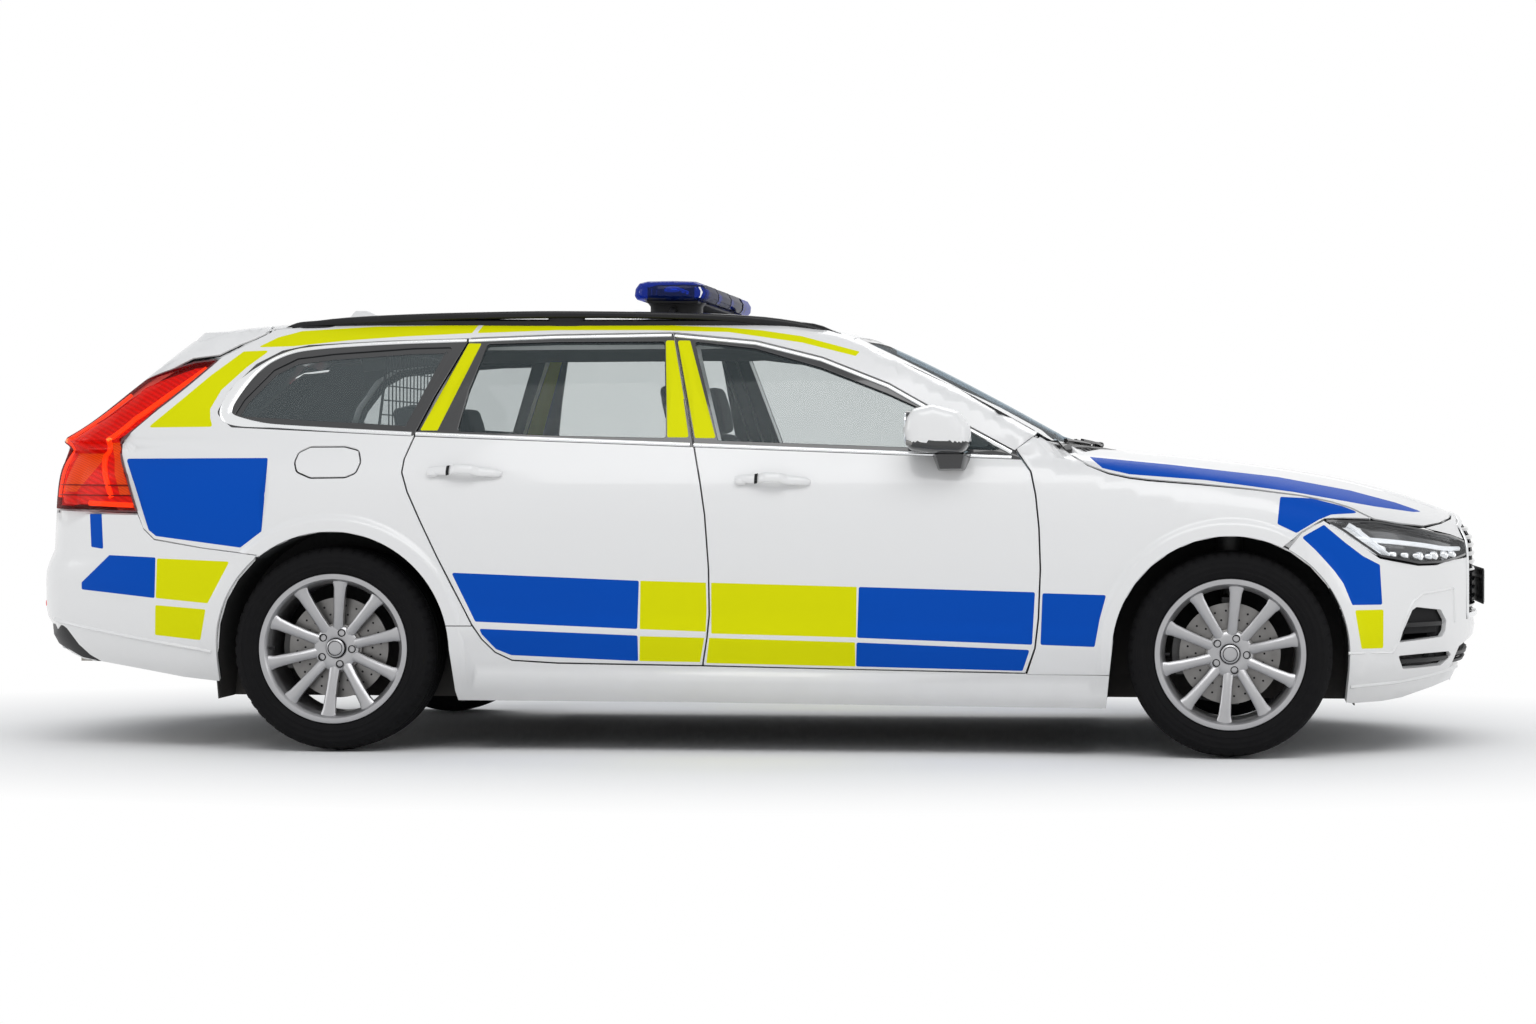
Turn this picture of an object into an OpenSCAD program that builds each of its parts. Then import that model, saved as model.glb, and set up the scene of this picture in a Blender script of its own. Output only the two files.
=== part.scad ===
// Estate patrol car: body shell, doors and lids, glass, running gear and cabin,
// each piece a solid of its own. Millimetres, +X to the front, +Y to the left, +Z up.
// The origin is on the ground under the middle of the car's length and width.

/* [Overall] */
// Distance between the axles
wheelbase = 2941; // [2500:1:3600]
// Front axle to the nose of the bumper
front_overhang = 872; // [760:1:1050]
// Rear axle to the end of the rear bumper
rear_overhang = 1123; // [950:1:1350]
// Width over the doors
body_width = 1878; // [1600:1:2300]
// Ground to the waist line of the side
waist_height = 960; // [900:1:1080]
// Ground to the roof skin on the centre line
roof_height = 1455; // [1380:1:1750]

/* [Body] */
// Depth of a door or pillar below the waist
side_depth = 120; // [90:1:140]
// Depth of a window frame or pillar above the waist
frame_depth = 66; // [54:1:80]
// Depth of a door's outer step, which laps its pillar
door_lap = 58; // [45:1:75]
// Thickness of the roof, bonnet and fenders
skin = 24; // [14:1:32]
// Shut line between panels
shut = 6; // [5:0.5:9]
// Gap around the inner step of a door, which swings past its pillar
lap_gap = 22; // [14:0.5:26]
// Depth of a window frame's outer step
frame_lap = 13; // [9:0.5:18]
// How far the inner step of a door is set in from its edge
door_step = 34; // [22:1:45]
// Glass thickness
glass = 5; // [3:0.5:6]
// Space left between a pane and its frame
glass_fit = 0.5; // [0.2:0.1:1]
// Radius of the wheel arch openings
arch_r = 385; // [370:1:420]

/* [Wheels] */
// Outside diameter of the tyre
tyre_d = 675; // [600:1:720]
// Tyre width
tyre_w = 245; // [195:1:265]
// Diameter over the rim flange
rim_d = 492; // [440:1:520]
// Track width, tyre centre to tyre centre
track = 1620; // [1450:1:1650]
// Diameter of the bolt circle
bolt_circle = 108; // [98:1:120]
// Wheel bolt hole
bolt_hole_d = 14.5; // [12:0.1:16]
// Brake disc diameter
disc_d = 330; // [280:1:345]
// Brake disc thickness
disc_t = 28; // [20:1:32]
// Wheel spindle diameter
spindle_d = 40; // [30:1:50]
// Kingpin diameter
kingpin_d = 24; // [16:1:30]
// Radial play of a shaft in its bore
play = 0.05; // [0.02:0.01:0.09]
// Kingpin axis inboard of the tyre centre
kingpin_offset = 62; // [50:1:75]

/* [Cabin] */
// Seat width
seat_w = 500; // [440:1:540]
// Distance of a front seat from the centre line
seat_y = 370; // [340:1:400]
// Outside diameter of the steering wheel rim
steering_d = 372; // [340:1:390]
// Steering shaft diameter
shaft_d = 28; // [20:1:34]
// Tilt of the steering shaft above the horizontal
shaft_tilt = 24; // [18:1:30]

/* [Fittings] */
// Towing eye thread bore
tow_bore = 16; // [12:1:22]
// Number plate width
plate_w = 520; // [400:1:530]
// Number plate height
plate_h = 111; // [100:1:130]
// Number plate screw spacing
plate_holes = 300; // [200:1:400]
// Number plate screw hole
plate_hole_d = 5; // [4:0.5:7]
// Light bar width across the roof
bar_w = 1160; // [900:1:1250]
// Light bar length along the car
bar_l = 250; // [200:1:300]

/* [Hidden] */

body_length = wheelbase + front_overhang + rear_overhang;
x_tail = -body_length / 2;
x_rear = x_tail + rear_overhang;
x_front = x_rear + wheelbase;
tyre_r = tyre_d / 2;
wheel_y = track / 2;
big = 3000;
thin = 0.5;

// The body lines below are drawn on a design grid whose axles, ends, waist and roof
// stand at these places. X(), Y() and Z() carry a grid place to the size asked for.
GRID_REAR = -1345;
GRID_FRONT = 1596;
GRID_TAIL = -2468;
GRID_NOSE = 2468;
GRID_HALF = 939;
GRID_WAIST = 960;
GRID_ROOF = 1455;

function X(x) =
    x < GRID_REAR ? x_rear + (x - GRID_REAR) * rear_overhang / (GRID_REAR - GRID_TAIL) :
    x > GRID_FRONT ? x_front + (x - GRID_FRONT) * front_overhang / (GRID_NOSE - GRID_FRONT) :
    x_rear + (x - GRID_REAR) * wheelbase / (GRID_FRONT - GRID_REAR);
function Y(y) = y * body_width / 2 / GRID_HALF;
function Z(z) =
    z < GRID_WAIST ? z * waist_height / GRID_WAIST :
    waist_height + (z - GRID_WAIST) * (roof_height - waist_height) / (GRID_ROOF - GRID_WAIST);
function XZ(pts) = [for (p = pts) [X(p[0]), Z(p[1])]];
function XY(pts) = [for (p = pts) [X(p[0]), Y(p[1])]];

// Half width of the middle of the car at each height.
SIDE = [[150, 850], [200, 868], [285, 905], [400, 925], [560, 936], [650, 939], [760, 937],
    [850, 925], [930, 900], [960, 886], [1385, 655], [1420, 600], [1445, 470], [1457, 300]];
// Where the centre line of the nose, windscreen and roof front stands at each height.
NOSE = [[150, 2330], [200, 2380], [240, 2400], [300, 2440], [470, 2468], [600, 2468],
    [684, 2464], [756, 2432], [798, 2360], [827, 2289], [872, 2146], [907, 2002], [932, 1859],
    [953, 1716], [977, 1501], [1004, 1215], [1028, 1072], [1067, 1000], [1184, 785],
    [1294, 571], [1361, 427], [1390, 356], [1420, 200], [1440, 0], [1450, -250], [1457, -600]];
// The same for the tail.
TAIL = [[150, -2200], [200, -2280], [294, -2400], [380, -2450], [470, -2468], [560, -2468],
    [615, -2455], [640, -2440], [900, -2428], [965, -2412], [1000, -2395], [1045, -2335],
    [1080, -2290], [1340, -2000], [1362, -1975], [1376, -1940], [1395, -1870], [1425, -1600],
    [1447, -1200], [1457, -600]];
// Height of the centre line along the car.
TOP = [[-2468, 560], [-2455, 615], [-2440, 640], [-2428, 900], [-2412, 965], [-2395, 1000],
    [-2335, 1045], [-2290, 1080], [-2000, 1340], [-1975, 1362], [-1940, 1376], [-1870, 1395],
    [-1600, 1425], [-1200, 1447], [-600, 1455], [-250, 1450], [0, 1440], [200, 1420],
    [356, 1390], [427, 1361], [571, 1294], [785, 1184], [1000, 1067], [1072, 1028],
    [1215, 1004], [1501, 977], [1716, 953], [1859, 932], [2002, 907], [2146, 872],
    [2289, 827], [2360, 798], [2432, 752], [2464, 684], [2468, 600]];
// Underside along the car.
BASE = [[-2468, 470], [-2450, 380], [-2400, 300], [-2325, 270], [-2226, 250], [-1987, 235],
    [-1727, 215], [-1100, 176], [1188, 162], [1985, 155], [2166, 165], [2300, 185],
    [2400, 240], [2440, 300], [2468, 470]];
// How the half width closes in behind the nose and ahead of the tail, low and high up.
NOSE_LOW = [[0, 0.16], [28, 0.32], [90, 0.53], [190, 0.745], [318, 0.885], [468, 0.955],
    [568, 0.975], [870, 1]];
NOSE_HIGH = [[0, 0.15], [15, 0.55], [40, 0.82], [75, 0.96], [120, 1]];
TAIL_LOW = [[0, 0.35], [28, 0.55], [88, 0.75], [168, 0.86], [318, 0.94], [518, 0.98], [900, 1]];
TAIL_HIGH = [[0, 0.25], [15, 0.6], [40, 0.84], [80, 0.95], [140, 1]];
// Narrowing of the cabin towards the tail.
CABIN_TAPER = [[-2468, 0.9], [-1900, 0.93], [-1300, 0.985], [-700, 1]];

STATIONS = [-2468, -2455, -2440, -2428, -2412, -2395, -2335, -2290, -2200, -2100, -2000, -1965,
    -1900, -1780, -1600, -1345, -1100, -800, -500, -200, 0, 200, 356, 427, 571, 785, 1000,
    1072, 1130, 1215, 1400, 1596, 1780, 1950, 2080, 2190, 2289, 2360, 2410, 2445, 2468];
LEVELS = [0, 0.04, 0.12, 0.26, 0.4, 0.52, 0.6, 0.64, 0.78, 0.92, 0.965, 0.99, 1];

function clampu(u) = max(0, u);
function ramp(v, a, b) = min(1, max(0, (v - a) / (b - a)));
function closing(u, z, low, high) =
    let (t = ramp(z, 985, 1030)) (1 - t) * lookup(clampu(u), low) + t * lookup(clampu(u), high);
// Half width of the body at a place on the design grid.
function half(x, z) = lookup(z, SIDE)
    * closing(lookup(z, NOSE) - x, z, NOSE_LOW, NOSE_HIGH)
    * closing(x - lookup(z, TAIL), z, TAIL_LOW, TAIL_HIGH)
    * (1 - (1 - lookup(x, CABIN_TAPER)) * ramp(z, 960, 1100));

// One slice of the body, a given depth inside the skin, between two heights. The
// same levels are used at every depth, so a deeper slice always lies inside a shallower.
function slice(x, side_in, top_in, base_in, z0, z1) =
    let (
        reach = max(top_in, side_in) * 0.8,
        top = min(lookup(x - reach, TOP), lookup(x + reach, TOP), lookup(x, TOP)),
        base = lookup(x, BASE),
        ring = [for (f = LEVELS) let (z = base + f * (top - base))
            [z - top_in * ramp(f, 0.5, 1) + base_in * (1 - f), max(1,
            min(half(x, z), half(x + side_in, z), half(x - side_in, z)) - side_in)]],
        low = max(z0, ring[0][0]),
        high = min(z1, ring[len(ring) - 1][0]),
        right = [[low, lookup(low, ring)], for (p = ring) if (p[0] > low + 1 && p[0] < high - 1) p,
            [high, lookup(high, ring)]]
    )
    high - low < 8 ? [] :
    [for (s = [1, -1]) for (p = right) [X(x), s * Y(p[1]), Z(p[0])]];

module loft(side_in, top_in, base_in, z0 = 0, z1 = 2000) {
    x0 = GRID_TAIL + side_in;
    x1 = GRID_NOSE - side_in;
    places = concat([x0], [for (x = STATIONS) if (x > x0 + 2 && x < x1 - 2) x], [x1]);
    rings = [for (x = places) slice(x, side_in, top_in, base_in, z0, z1)];
    for (i = [0 : len(rings) - 2])
        if (len(rings[i]) > 0 && len(rings[i + 1]) > 0)
            hull() polyhedron(concat(rings[i], rings[i + 1]),
                [[for (k = [0 : len(rings[i]) + len(rings[i + 1]) - 1]) k]]);
}

module outer() loft(0, 0, 0);
// Space inside the sides at two depths, below and above the waist.
module core(low_in, high_in) {
    loft(low_in, 20, -80, z1 = GRID_WAIST - 20);
    loft(high_in, high_in * 0.6, -80, z0 = GRID_WAIST - 30);
}

// Prism through the whole width from an outline in side view, with an optional inset.
module side_prism(outline, inset = 0, y0 = -big, y1 = big)
    translate([0, y1, 0]) rotate([90, 0, 0]) linear_extrude(y1 - y0)
        offset(delta = -inset) polygon(XZ(outline));
module plan_prism(outline, z0 = -100, z1 = big)
    translate([0, 0, z0]) linear_extrude(z1 - z0) polygon(XY(outline));
module half_space(side, gap = 0)
    translate([-big, side > 0 ? gap : -big - gap, -100]) cube([2 * big, big, big]);
module ypipe(x, y0, y1, z, r)
    translate([x, y1, z]) rotate([90, 0, 0]) cylinder(r = r, h = y1 - y0);

// Wheel arch openings.
module arches(r = arch_r, y_in = 0) for (x = [x_front, x_rear]) for (s = [-1, 1])
    ypipe(x, s > 0 ? y_in : -big, s > 0 ? big : -y_in, tyre_r, r);

// Shut lines in side view.
FRONT_DOOR = [[932, 267], [962, 353], [973, 451], [979, 614], [974, 745], [962, 853],
    [945, 929], [899, 990], [749, 1070], [637, 1124], [467, 1218], [240, 1306], [14, 1362],
    [-266, 1389], [-168, 1021], [-137, 891], [-118, 783], [-104, 609],
    [-102, 457], [-109, 380], [-127, 287]];
REAR_DOOR = [[-127, 287], [-109, 380], [-102, 457], [-104, 609], [-118, 783], [-137, 891],
    [-168, 1021], [-266, 1389], [-657, 1381], [-951, 1368], [-1040, 1171],
    [-1094, 1044], [-1121, 962], [-1124, 918], [-1101, 854], [-1054, 756], [-999, 643],
    [-946, 540], [-883, 420], [-851, 371], [-809, 328], [-755, 302], [-605, 294]];
FRONT_WINDOW = [[861, 996], [638, 1108], [469, 1184], [242, 1272], [16, 1337], [-194, 1361],
    [-88, 1025], [40, 1021], [478, 1007]];
REAR_WINDOW = [[-292, 1361], [-655, 1358], [-962, 1346], [-1064, 1118], [-1084, 1052],
    [-619, 1039], [-257, 1033]];
QUARTER_WINDOW = [[-1118, 1052], [-1000, 1340], [-1139, 1336], [-1406, 1316], [-1530, 1300],
    [-1606, 1260], [-1694, 1158], [-1722, 1104], [-1700, 1084], [-1456, 1070]];
FENDER = [[979, 614], [974, 745], [962, 853], [945, 929], [899, 990], [1000, 1075],
    [2400, 900], [2067, 775], [1900, 778], [1925, 660], [1998, 640], [1998, 100], [1230, 100],
    [932, 150], [932, 267], [962, 353], [973, 451]];
FRONT_BUMPER = [[1998, 120], [1998, 640], [2024, 693], [2083, 654], [2214, 629], [2332, 640],
    [2520, 640], [2520, 120]];
REAR_BUMPER = [[-2520, 655], [-2180, 655], [-2010, 760], [-1975, 726], [-1942, 693],
    [-1778, 665], [-1588, 643], [-1690, 180], [-2520, 150]];
TAIL_LAMP = [[-1793, 1302], [-1845, 1248], [-1902, 1194], [-1988, 1120], [-2058, 1046],
    [-2089, 1003], [-2088, 980], [-2050, 905], [-1999, 778], [-2420, 787], [-2420, 1010],
    [-2208, 1086], [-1890, 1300]];
HEADLAMP = [[1900, 778], [1926, 782], [2067, 778], [2240, 750], [2300, 735], [2420, 682],
    [2420, 652], [2330, 629], [2214, 629], [2083, 654], [2024, 693], [1969, 732]];
TAILGATE = [[-1655, 1500], [-1655, 1330], [-1880, 1318], [-1960, 1230], [-2100, 1100],
    [-2180, 1000], [-2170, 655], [-2600, 655], [-2600, 1500]];
tailgate_half = 640;
lamp_depth = 60;
flap_pocket = 46;
roof_edge = 585;

// The body's opening for a door: wide in the lap, narrower behind it.
module door_opening(outline) {
    side_prism(outline, door_step - lap_gap);
    difference() {
        side_prism(outline, -shut / 2);
        core(door_lap, frame_lap);
    }
}

module skin_space() loft(skin, skin, -80);
module lamp_space() loft(lamp_depth, lamp_depth, -80);

// Window panes lie in a thin layer a little inside the skin.
module pane_layer(depth) difference() {
    loft(depth, depth * 0.5, 300);
    loft(depth + glass, (depth + glass) * 0.5 + 2, 300);
}

WINDSCREEN = [[372, 0], [366, 300], [345, 560], [392, 608], [491, 640], [662, 684], [831, 722],
    [966, 750], [1036, 762], [1062, 640], [1088, 400], [1104, 150], [1108, 0], [1104, -150],
    [1088, -400], [1062, -640], [1036, -762], [966, -750], [831, -722], [662, -684],
    [491, -640], [392, -608], [345, -560], [366, -300]];
COWL = [[1036, 790], [1140, 838], [1160, 500], [1208, 200], [1214, 0], [1208, -200],
    [1160, -500], [1140, -838], [1036, -790], [1000, -790], [1000, 790]];
BONNET_SIDE = [[1000, 700], [1880, 700], [1900, 781], [2067, 784], [2240, 758], [2300, 758],
    [2340, 772], [2372, 790], [2372, 1300], [1000, 1300]];
BONNET_WIDE = [[1045, 790], [1140, 838], [1330, 862], [1596, 856], [1850, 832], [1990, 806],
    [2100, 800], [2240, 760], [2420, 700], [2420, -700], [2240, -760], [2100, -800],
    [1990, -806], [1850, -832], [1596, -856], [1330, -862], [1140, -838], [1045, -790],
    [1160, -500], [1208, -200], [1214, 0], [1208, 200], [1160, 500]];
REAR_PANE = [[-585, 1092], [-600, 1110], [-520, 1318], [520, 1318], [600, 1110], [585, 1092]];
FLAP = [[-1484, 950], [-1476, 982], [-1439, 1001], [-1324, 1002], [-1276, 990], [-1264, 951],
    [-1276, 915], [-1310, 900], [-1426, 898], [-1474, 918]];
module bonnet_region(gap) intersection() {
    translate([0, 0, 500]) linear_extrude(big) offset(delta = -gap) polygon(XY(BONNET_WIDE));
    side_prism(BONNET_SIDE, gap);
}
module rear_pane_prism(gap) translate([-big, 0, 0]) rotate([90, 0, 90]) linear_extrude(big - 1700)
    offset(delta = -gap) polygon([for (p = REAR_PANE) [Y(p[0]), Z(p[1])]]);
module middle(half_y) translate([-big, -half_y, -100]) cube([2 * big, 2 * half_y, big]);
module behind(x) translate([x - big, -big, -100]) cube([big, 2 * big, big]);
module above(z) translate([-big, -big, z]) cube([2 * big, 2 * big, big]);

// Body sides: sill, pillars, cant rail and rear quarter.
module body_side(side) intersection() {
    half_space(side, Y(roof_edge));
    difference() {
        outer();
        core(side_depth, frame_depth);
        door_opening(FRONT_DOOR);
        door_opening(REAR_DOOR);
        if (side < 0) difference() {
            side_prism(FLAP, -shut / 2 - 1);
            loft(flap_pocket, flap_pocket, -80);
        }
        side_prism(QUARTER_WINDOW);
        side_prism(FENDER, -shut / 2);
        side_prism(REAR_BUMPER);
        translate([X(998), -big, -100]) cube([big, 2 * big, big]);
        side_prism(TAIL_LAMP);
        plan_prism(WINDSCREEN, z0 = Z(985));
        arches();
        intersection() { behind(X(-1655) + shut); middle(Y(tailgate_half) + shut); }
    }
}

// Roof skin between the cant rails.
module roof_panel() color("white") intersection() {
    difference() { outer(); core(side_depth, frame_depth); }
    middle(Y(roof_edge));
    above(Z(1200));
    difference() {
        translate([X(-1655) + shut, -big, 0]) cube([X(600) - X(-1655), 2 * big, big]);
        plan_prism(WINDSCREEN, z0 = Z(985));
    }
}

module front_fenders() color("white") intersection() {
    difference() { outer(); skin_space(); }
    difference() {
        side_prism(FENDER, shut / 2);
        bonnet_region(-shut);
        plan_prism(COWL, z0 = 900);
        plan_prism(WINDSCREEN, z0 = 900);
        side_prism(HEADLAMP);
        side_prism(FRONT_BUMPER);
        arches();
        middle(Y(600));
    }
}

// Front bumper cover with its grille mouth, side intakes and lower intake.
module front_bumper() color("white") difference() {
    intersection() { outer(); side_prism(FRONT_BUMPER); }
    skin_space();
    arches();
    side_prism(HEADLAMP);
    translate([X(2200), -Y(430), Z(430)]) cube([big, 2 * Y(430), big]);
    translate([X(2200), -Y(560), Z(225)]) cube([big, 2 * Y(560), Z(300) - Z(225)]);
    for (s = [-1, 1]) scale([1, s, 1]) {
        translate([X(2000), Y(640), Z(300)]) cube([big, Y(780) - Y(640), Z(400) - Z(300)]);
        translate([X(2000), Y(520), Z(530)]) rotate([0, 90, 0]) cylinder(d = 60, h = big);
    }
}

module grille() color("black") difference() {
    intersection() {
        outer();
        translate([X(2200), -Y(427), Z(433)]) cube([big, 2 * Y(427), Z(900) - Z(433)]);
    }
    loft(skin + 16, skin + 16, -80);
    bonnet_region(-shut);
    for (i = [-3 : 3])
        translate([X(2200), Y(112) * i - Y(45), Z(470)]) cube([big, Y(90), Z(700) - Z(470)]);
}

module rear_bumper() color("white") difference() {
    intersection() { outer(); side_prism(REAR_BUMPER); }
    skin_space();
    arches();
    side_prism(TAIL_LAMP);
    translate([-big, Y(-450) - 30, Z(480)]) rotate([0, 90, 0]) cylinder(d = 60, h = big - 2200);
}

module headlamps() color("lightgray") difference() {
    intersection() { outer(); side_prism(HEADLAMP, 2); }
    lamp_space();
    middle(Y(432));
    bonnet_region(-shut);
}

module tail_lamps() color("firebrick") difference() {
    intersection() { outer(); side_prism(TAIL_LAMP, 2); }
    lamp_space();
    middle(Y(tailgate_half) + shut);
    intersection() { outer(); side_prism(REAR_BUMPER); }
}

module windscreen() color("darkslategray") intersection() {
    pane_layer(2);
    translate([0, 0, Z(985)]) linear_extrude(big) offset(delta = -glass_fit) polygon(XY(WINDSCREEN));
}

module quarter_glass() color("darkslategray") intersection() {
    pane_layer(8);
    side_prism(QUARTER_WINDOW, glass_fit);
}

// Raised side rails along the roof on three feet each.
RAIL = [[-1590, 1408, 575], [-1520, 1430, 584], [-1200, 1449, 600], [-670, 1460, 606],
    [-200, 1455, 606], [90, 1440, 600], [220, 1410, 592], [318, 1372, 585]];
rail_r = 13;
module roof_rails() color("black") for (s = [-1, 1]) scale([1, s, 1]) difference() {
    union() {
        for (i = [0 : len(RAIL) - 2]) hull() for (p = [RAIL[i], RAIL[i + 1]])
            translate([X(p[0]), Y(p[2]), Z(p[1])]) sphere(rail_r, $fn = 8);
        for (p = [RAIL[1], RAIL[3], RAIL[5]])
            translate([X(p[0]) - 45, Y(p[2]) - rail_r * 0.7, Z(p[1]) - 70])
                cube([90, rail_r * 1.4, 70]);
    }
    outer();
}

// Warning light bar on two feet.
module light_bar() color("blue") difference() {
    union() {
        hull() for (s = [-1, 1]) for (t = [-1, 1])
            translate([X(-292) + t * (bar_l / 2 - 45), s * (bar_w / 2 - 45), roof_height + 42])
                cylinder(r1 = 45, r2 = 34, h = 72, $fn = 32);
        for (s = [-1, 1])
            translate([X(-292) - 70, s * bar_w * 0.36 - 40, roof_height - 60]) cube([140, 80, 110]);
    }
    outer();
}

module antenna_fin() color("white") difference() {
    hull() {
        translate([X(-1400), 0, Z(1425)]) cylinder(r = 14, h = 4);
        translate([X(-1520), 0, Z(1418)]) cylinder(r = 30, h = 4);
        translate([X(-1512), 0, Z(1478)]) cylinder(r = 7, h = 12);
    }
    outer();
}

// Black panel below the windscreen that carries the wipers.
module cowl() color("dimgray") difference() {
    intersection() { outer(); plan_prism(COWL, z0 = 900); middle(Y(770)); }
    loft(24, 24, -80);
    bonnet_region(-shut);
    translate([0, 0, 800]) linear_extrude(big) offset(delta = shut / 2) polygon(XY(WINDSCREEN));
}

module wipers() color("black") difference() {
    for (w = [[1096, 560, 980, 20], [1140, -60, 975, -600]])
        hull() {
            translate([X(w[0]), Y(w[1]), Z(1000)]) cylinder(r = 11, h = 26, $fn = 16);
            translate([X(w[2] + 80), Y(w[3]), Z(1030)]) cylinder(r = 6, h = 20, $fn = 16);
        }
    outer();
    windscreen();
}

// Front plate on its holder and the rear plate on the tailgate.
module plate(t) difference() {
    cube([t, plate_w, plate_h], center = true);
    for (s = [-1, 1]) translate([0, s * plate_holes / 2, 0]) rotate([0, 90, 0])
        cylinder(d = plate_hole_d, h = 4 * t, center = true);
}
module front_plate() color("white") translate([x_front + front_overhang + 7, 0, Z(540)]) plate(12);
module rear_plate() color("white") translate([X(GRID_TAIL) + 24, 0, Z(800)]) plate(10);

// Floor, tunnel, bulkhead, load floor, rails and crash beams.
module slab(x0, x1, y, z0, z1)
    translate([X(x0), -Y(y), Z(z0)]) cube([X(x1) - X(x0), 2 * Y(y), Z(z1) - Z(z0)]);
module wheel_spaces() for (x = [x_front, x_rear]) for (s = [-1, 1]) {
    inner = x > 0 ? 500 : 640;
    ypipe(x, s > 0 ? inner : -big, s > 0 ? big : -inner, tyre_r, arch_r + 12);
}
module cabin_floor() intersection() {
    core(side_depth, frame_depth);
    difference() {
        union() {
            slab(-700, 1045, 900, 186, 216);
            slab(-730, -700, 900, 186, 330);
            slab(-1180, -700, 900, 300, 330);
            slab(-1210, -1180, 900, 300, 640);
            slab(-2330, -1180, 900, 610, 640);
            slab(-500, 1045, 100, 216, 350);
            slab(1020, 1045, 900, 186, 905);
        }
        slab(-760, 1100, 88, 100, 298);
        slab(-490, 1100, 88, 250, 338);
        slab(-2250, -1760, 380, 600, 700);
    }
}
module chassis_rails() intersection() {
    loft(skin + 12, skin + 12, -80);
    union() {
        for (s = [-1, 1]) scale([1, s, 1]) {
            translate([X(1040), Y(425), Z(420)]) cube([X(2290) - X(1040), 60, 100]);
            translate([X(1040), Y(425), Z(300)]) cube([100, 60, 200]);
            translate([X(-2340), Y(470), Z(480)]) cube([X(-1180) - X(-2340), 60, Z(615) - Z(480)]);
            difference() {
                translate([x_front - 90, Y(425) + 60, Z(420)]) cube([180, 15, Z(860) - Z(420)]);
                translate([x_front - 40, 0, tyre_r + 150]) cube([80, big, 40]);
            }
            translate([x_front - 90, Y(425) + 60, Z(840)])
                cube([180, Y(740) - Y(425) - 60, 20]);
        }
        slab(2260, 2300, 620, 420, 520);
        slab(-2360, -2320, 640, 440, 560);
    }
}
module floor_pan() color("gray") difference() {
    union() {
        cabin_floor();
        chassis_rails();
    }
    wheel_spaces();
}

module tow_sockets() color("gray") for (p = [[X(2300), Y(520), Z(530), 1], [X(-2360), Y(-450) - 30, Z(480), -1]])
    translate([p[0], p[1], p[2]]) rotate([0, 90 * p[3], 0]) difference() {
        cylinder(r = tow_bore / 2 + 7, h = 60);
        translate([0, 0, 10]) cylinder(d = tow_bore, h = 60);
    }

module wheel_liners() color("dimgray") for (w = [[x_front, 505], [x_rear, 660]]) for (s = [-1, 1])
    difference() {
        intersection() {
            difference() {
                ypipe(w[0], s > 0 ? w[1] : -Y(860), s > 0 ? Y(860) : -w[1], tyre_r, arch_r + 8);
                ypipe(w[0], s > 0 ? w[1] + 5 : -big, s > 0 ? big : -w[1] - 5, tyre_r, arch_r + 3);
            }
            translate([w[0] - 400, -big, tyre_r - 60]) cube([800, 2 * big, 600]);
            if (w[0] > 0) loft(skin + 12, skin + 40, -80);
            else core(side_depth, frame_depth);
        }
        if (w[0] > 0) translate([w[0] - 80, -720, 0]) cube([160, 1440, big]);
        if (w[0] < 0) translate([w[0] - 130, -700, 0]) cube([260, 1400, tyre_r + 150]);
    }

// Cabin furniture.
module pad(size, r, pos, tilt = 0) translate(pos) rotate([0, tilt, 0]) hull()
    for (i = [-1, 1]) for (j = [-1, 1]) for (k = [-1, 1])
        translate([i * (size[0] / 2 - r), j * (size[1] / 2 - r), k * (size[2] / 2 - r)])
            sphere(r, $fn = 8);
module front_seats() color("black") for (s = [-1, 1]) translate([X(60), s * seat_y, 216]) {
    pad([520, seat_w, 130], 40, [130, 0, 230]);
    pad([130, seat_w, 640], 45, [-215, 0, 540], -22);
    pad([100, 260, 180], 40, [-345, 0, 925], -14);
    pad([60, 60, 200], 20, [-320, 0, 800], -22);
    translate([-60, -seat_w * 0.36, 0]) cube([340, seat_w * 0.72, 190]);
}
module rear_bench() color("black") translate([X(-860), 0, Z(330)]) {
    pad([500, 1240, 130], 45, [90, 0, 70]);
    pad([130, 1200, 620], 45, [-215, 0, 370], -24);
    for (y = [-400, 0, 400]) pad([90, 240, 170], 36, [-345, y, 735], -14);
}
module steering_frame() translate([X(500), seat_y, Z(905)]) rotate([0, 90 + shaft_tilt, 0])
    children();
module dashboard() color("dimgray") difference() {
    union() {
        translate([X(640), -Y(700), Z(700)]) cube([X(960) - X(640), 2 * Y(700), Z(930) - Z(700)]);
        translate([X(300), -95, 400]) cube([X(760) - X(300), 190, Z(760) - 400]);
        steering_frame() translate([0, 0, 60]) rotate([0, 0, 0]) cylinder(r = 38, h = 130);
    }
    steering_frame() translate([0, 0, -50]) cylinder(r = shaft_d / 2 + play, h = 400);
}
module steering_wheel() color("black") steering_frame() {
    rotate_extrude() translate([steering_d / 2 - 15, 0]) circle(15);
    for (a = [0, 90, 180]) rotate([0, 0, a]) translate([25, -18, -8]) cube([steering_d / 2 - 45, 36, 16]);
    translate([0, 0, -14]) cylinder(r = 70, h = 34);
    cylinder(r = shaft_d / 2, h = 180);
}
module cargo_guard() color("black") translate([X(-1300), 0, 0]) {
    for (z = [Z(1010) : 60 : Z(1330)]) translate([0, -560 + (z - Z(1010)) * 0.45, z])
        cube([6, 1120 - (z - Z(1010)) * 0.9, 6]);
    for (i = [-8 : 8]) translate([0, i * 48, Z(1010)]) cube([6, 6, Z(1336) - Z(1010)]);
}
module engine_block() color("darkgray") translate([x_front - 330, -Y(390), Z(290)])
    cube([470, 2 * Y(390), Z(800) - Z(290)]);

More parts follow.
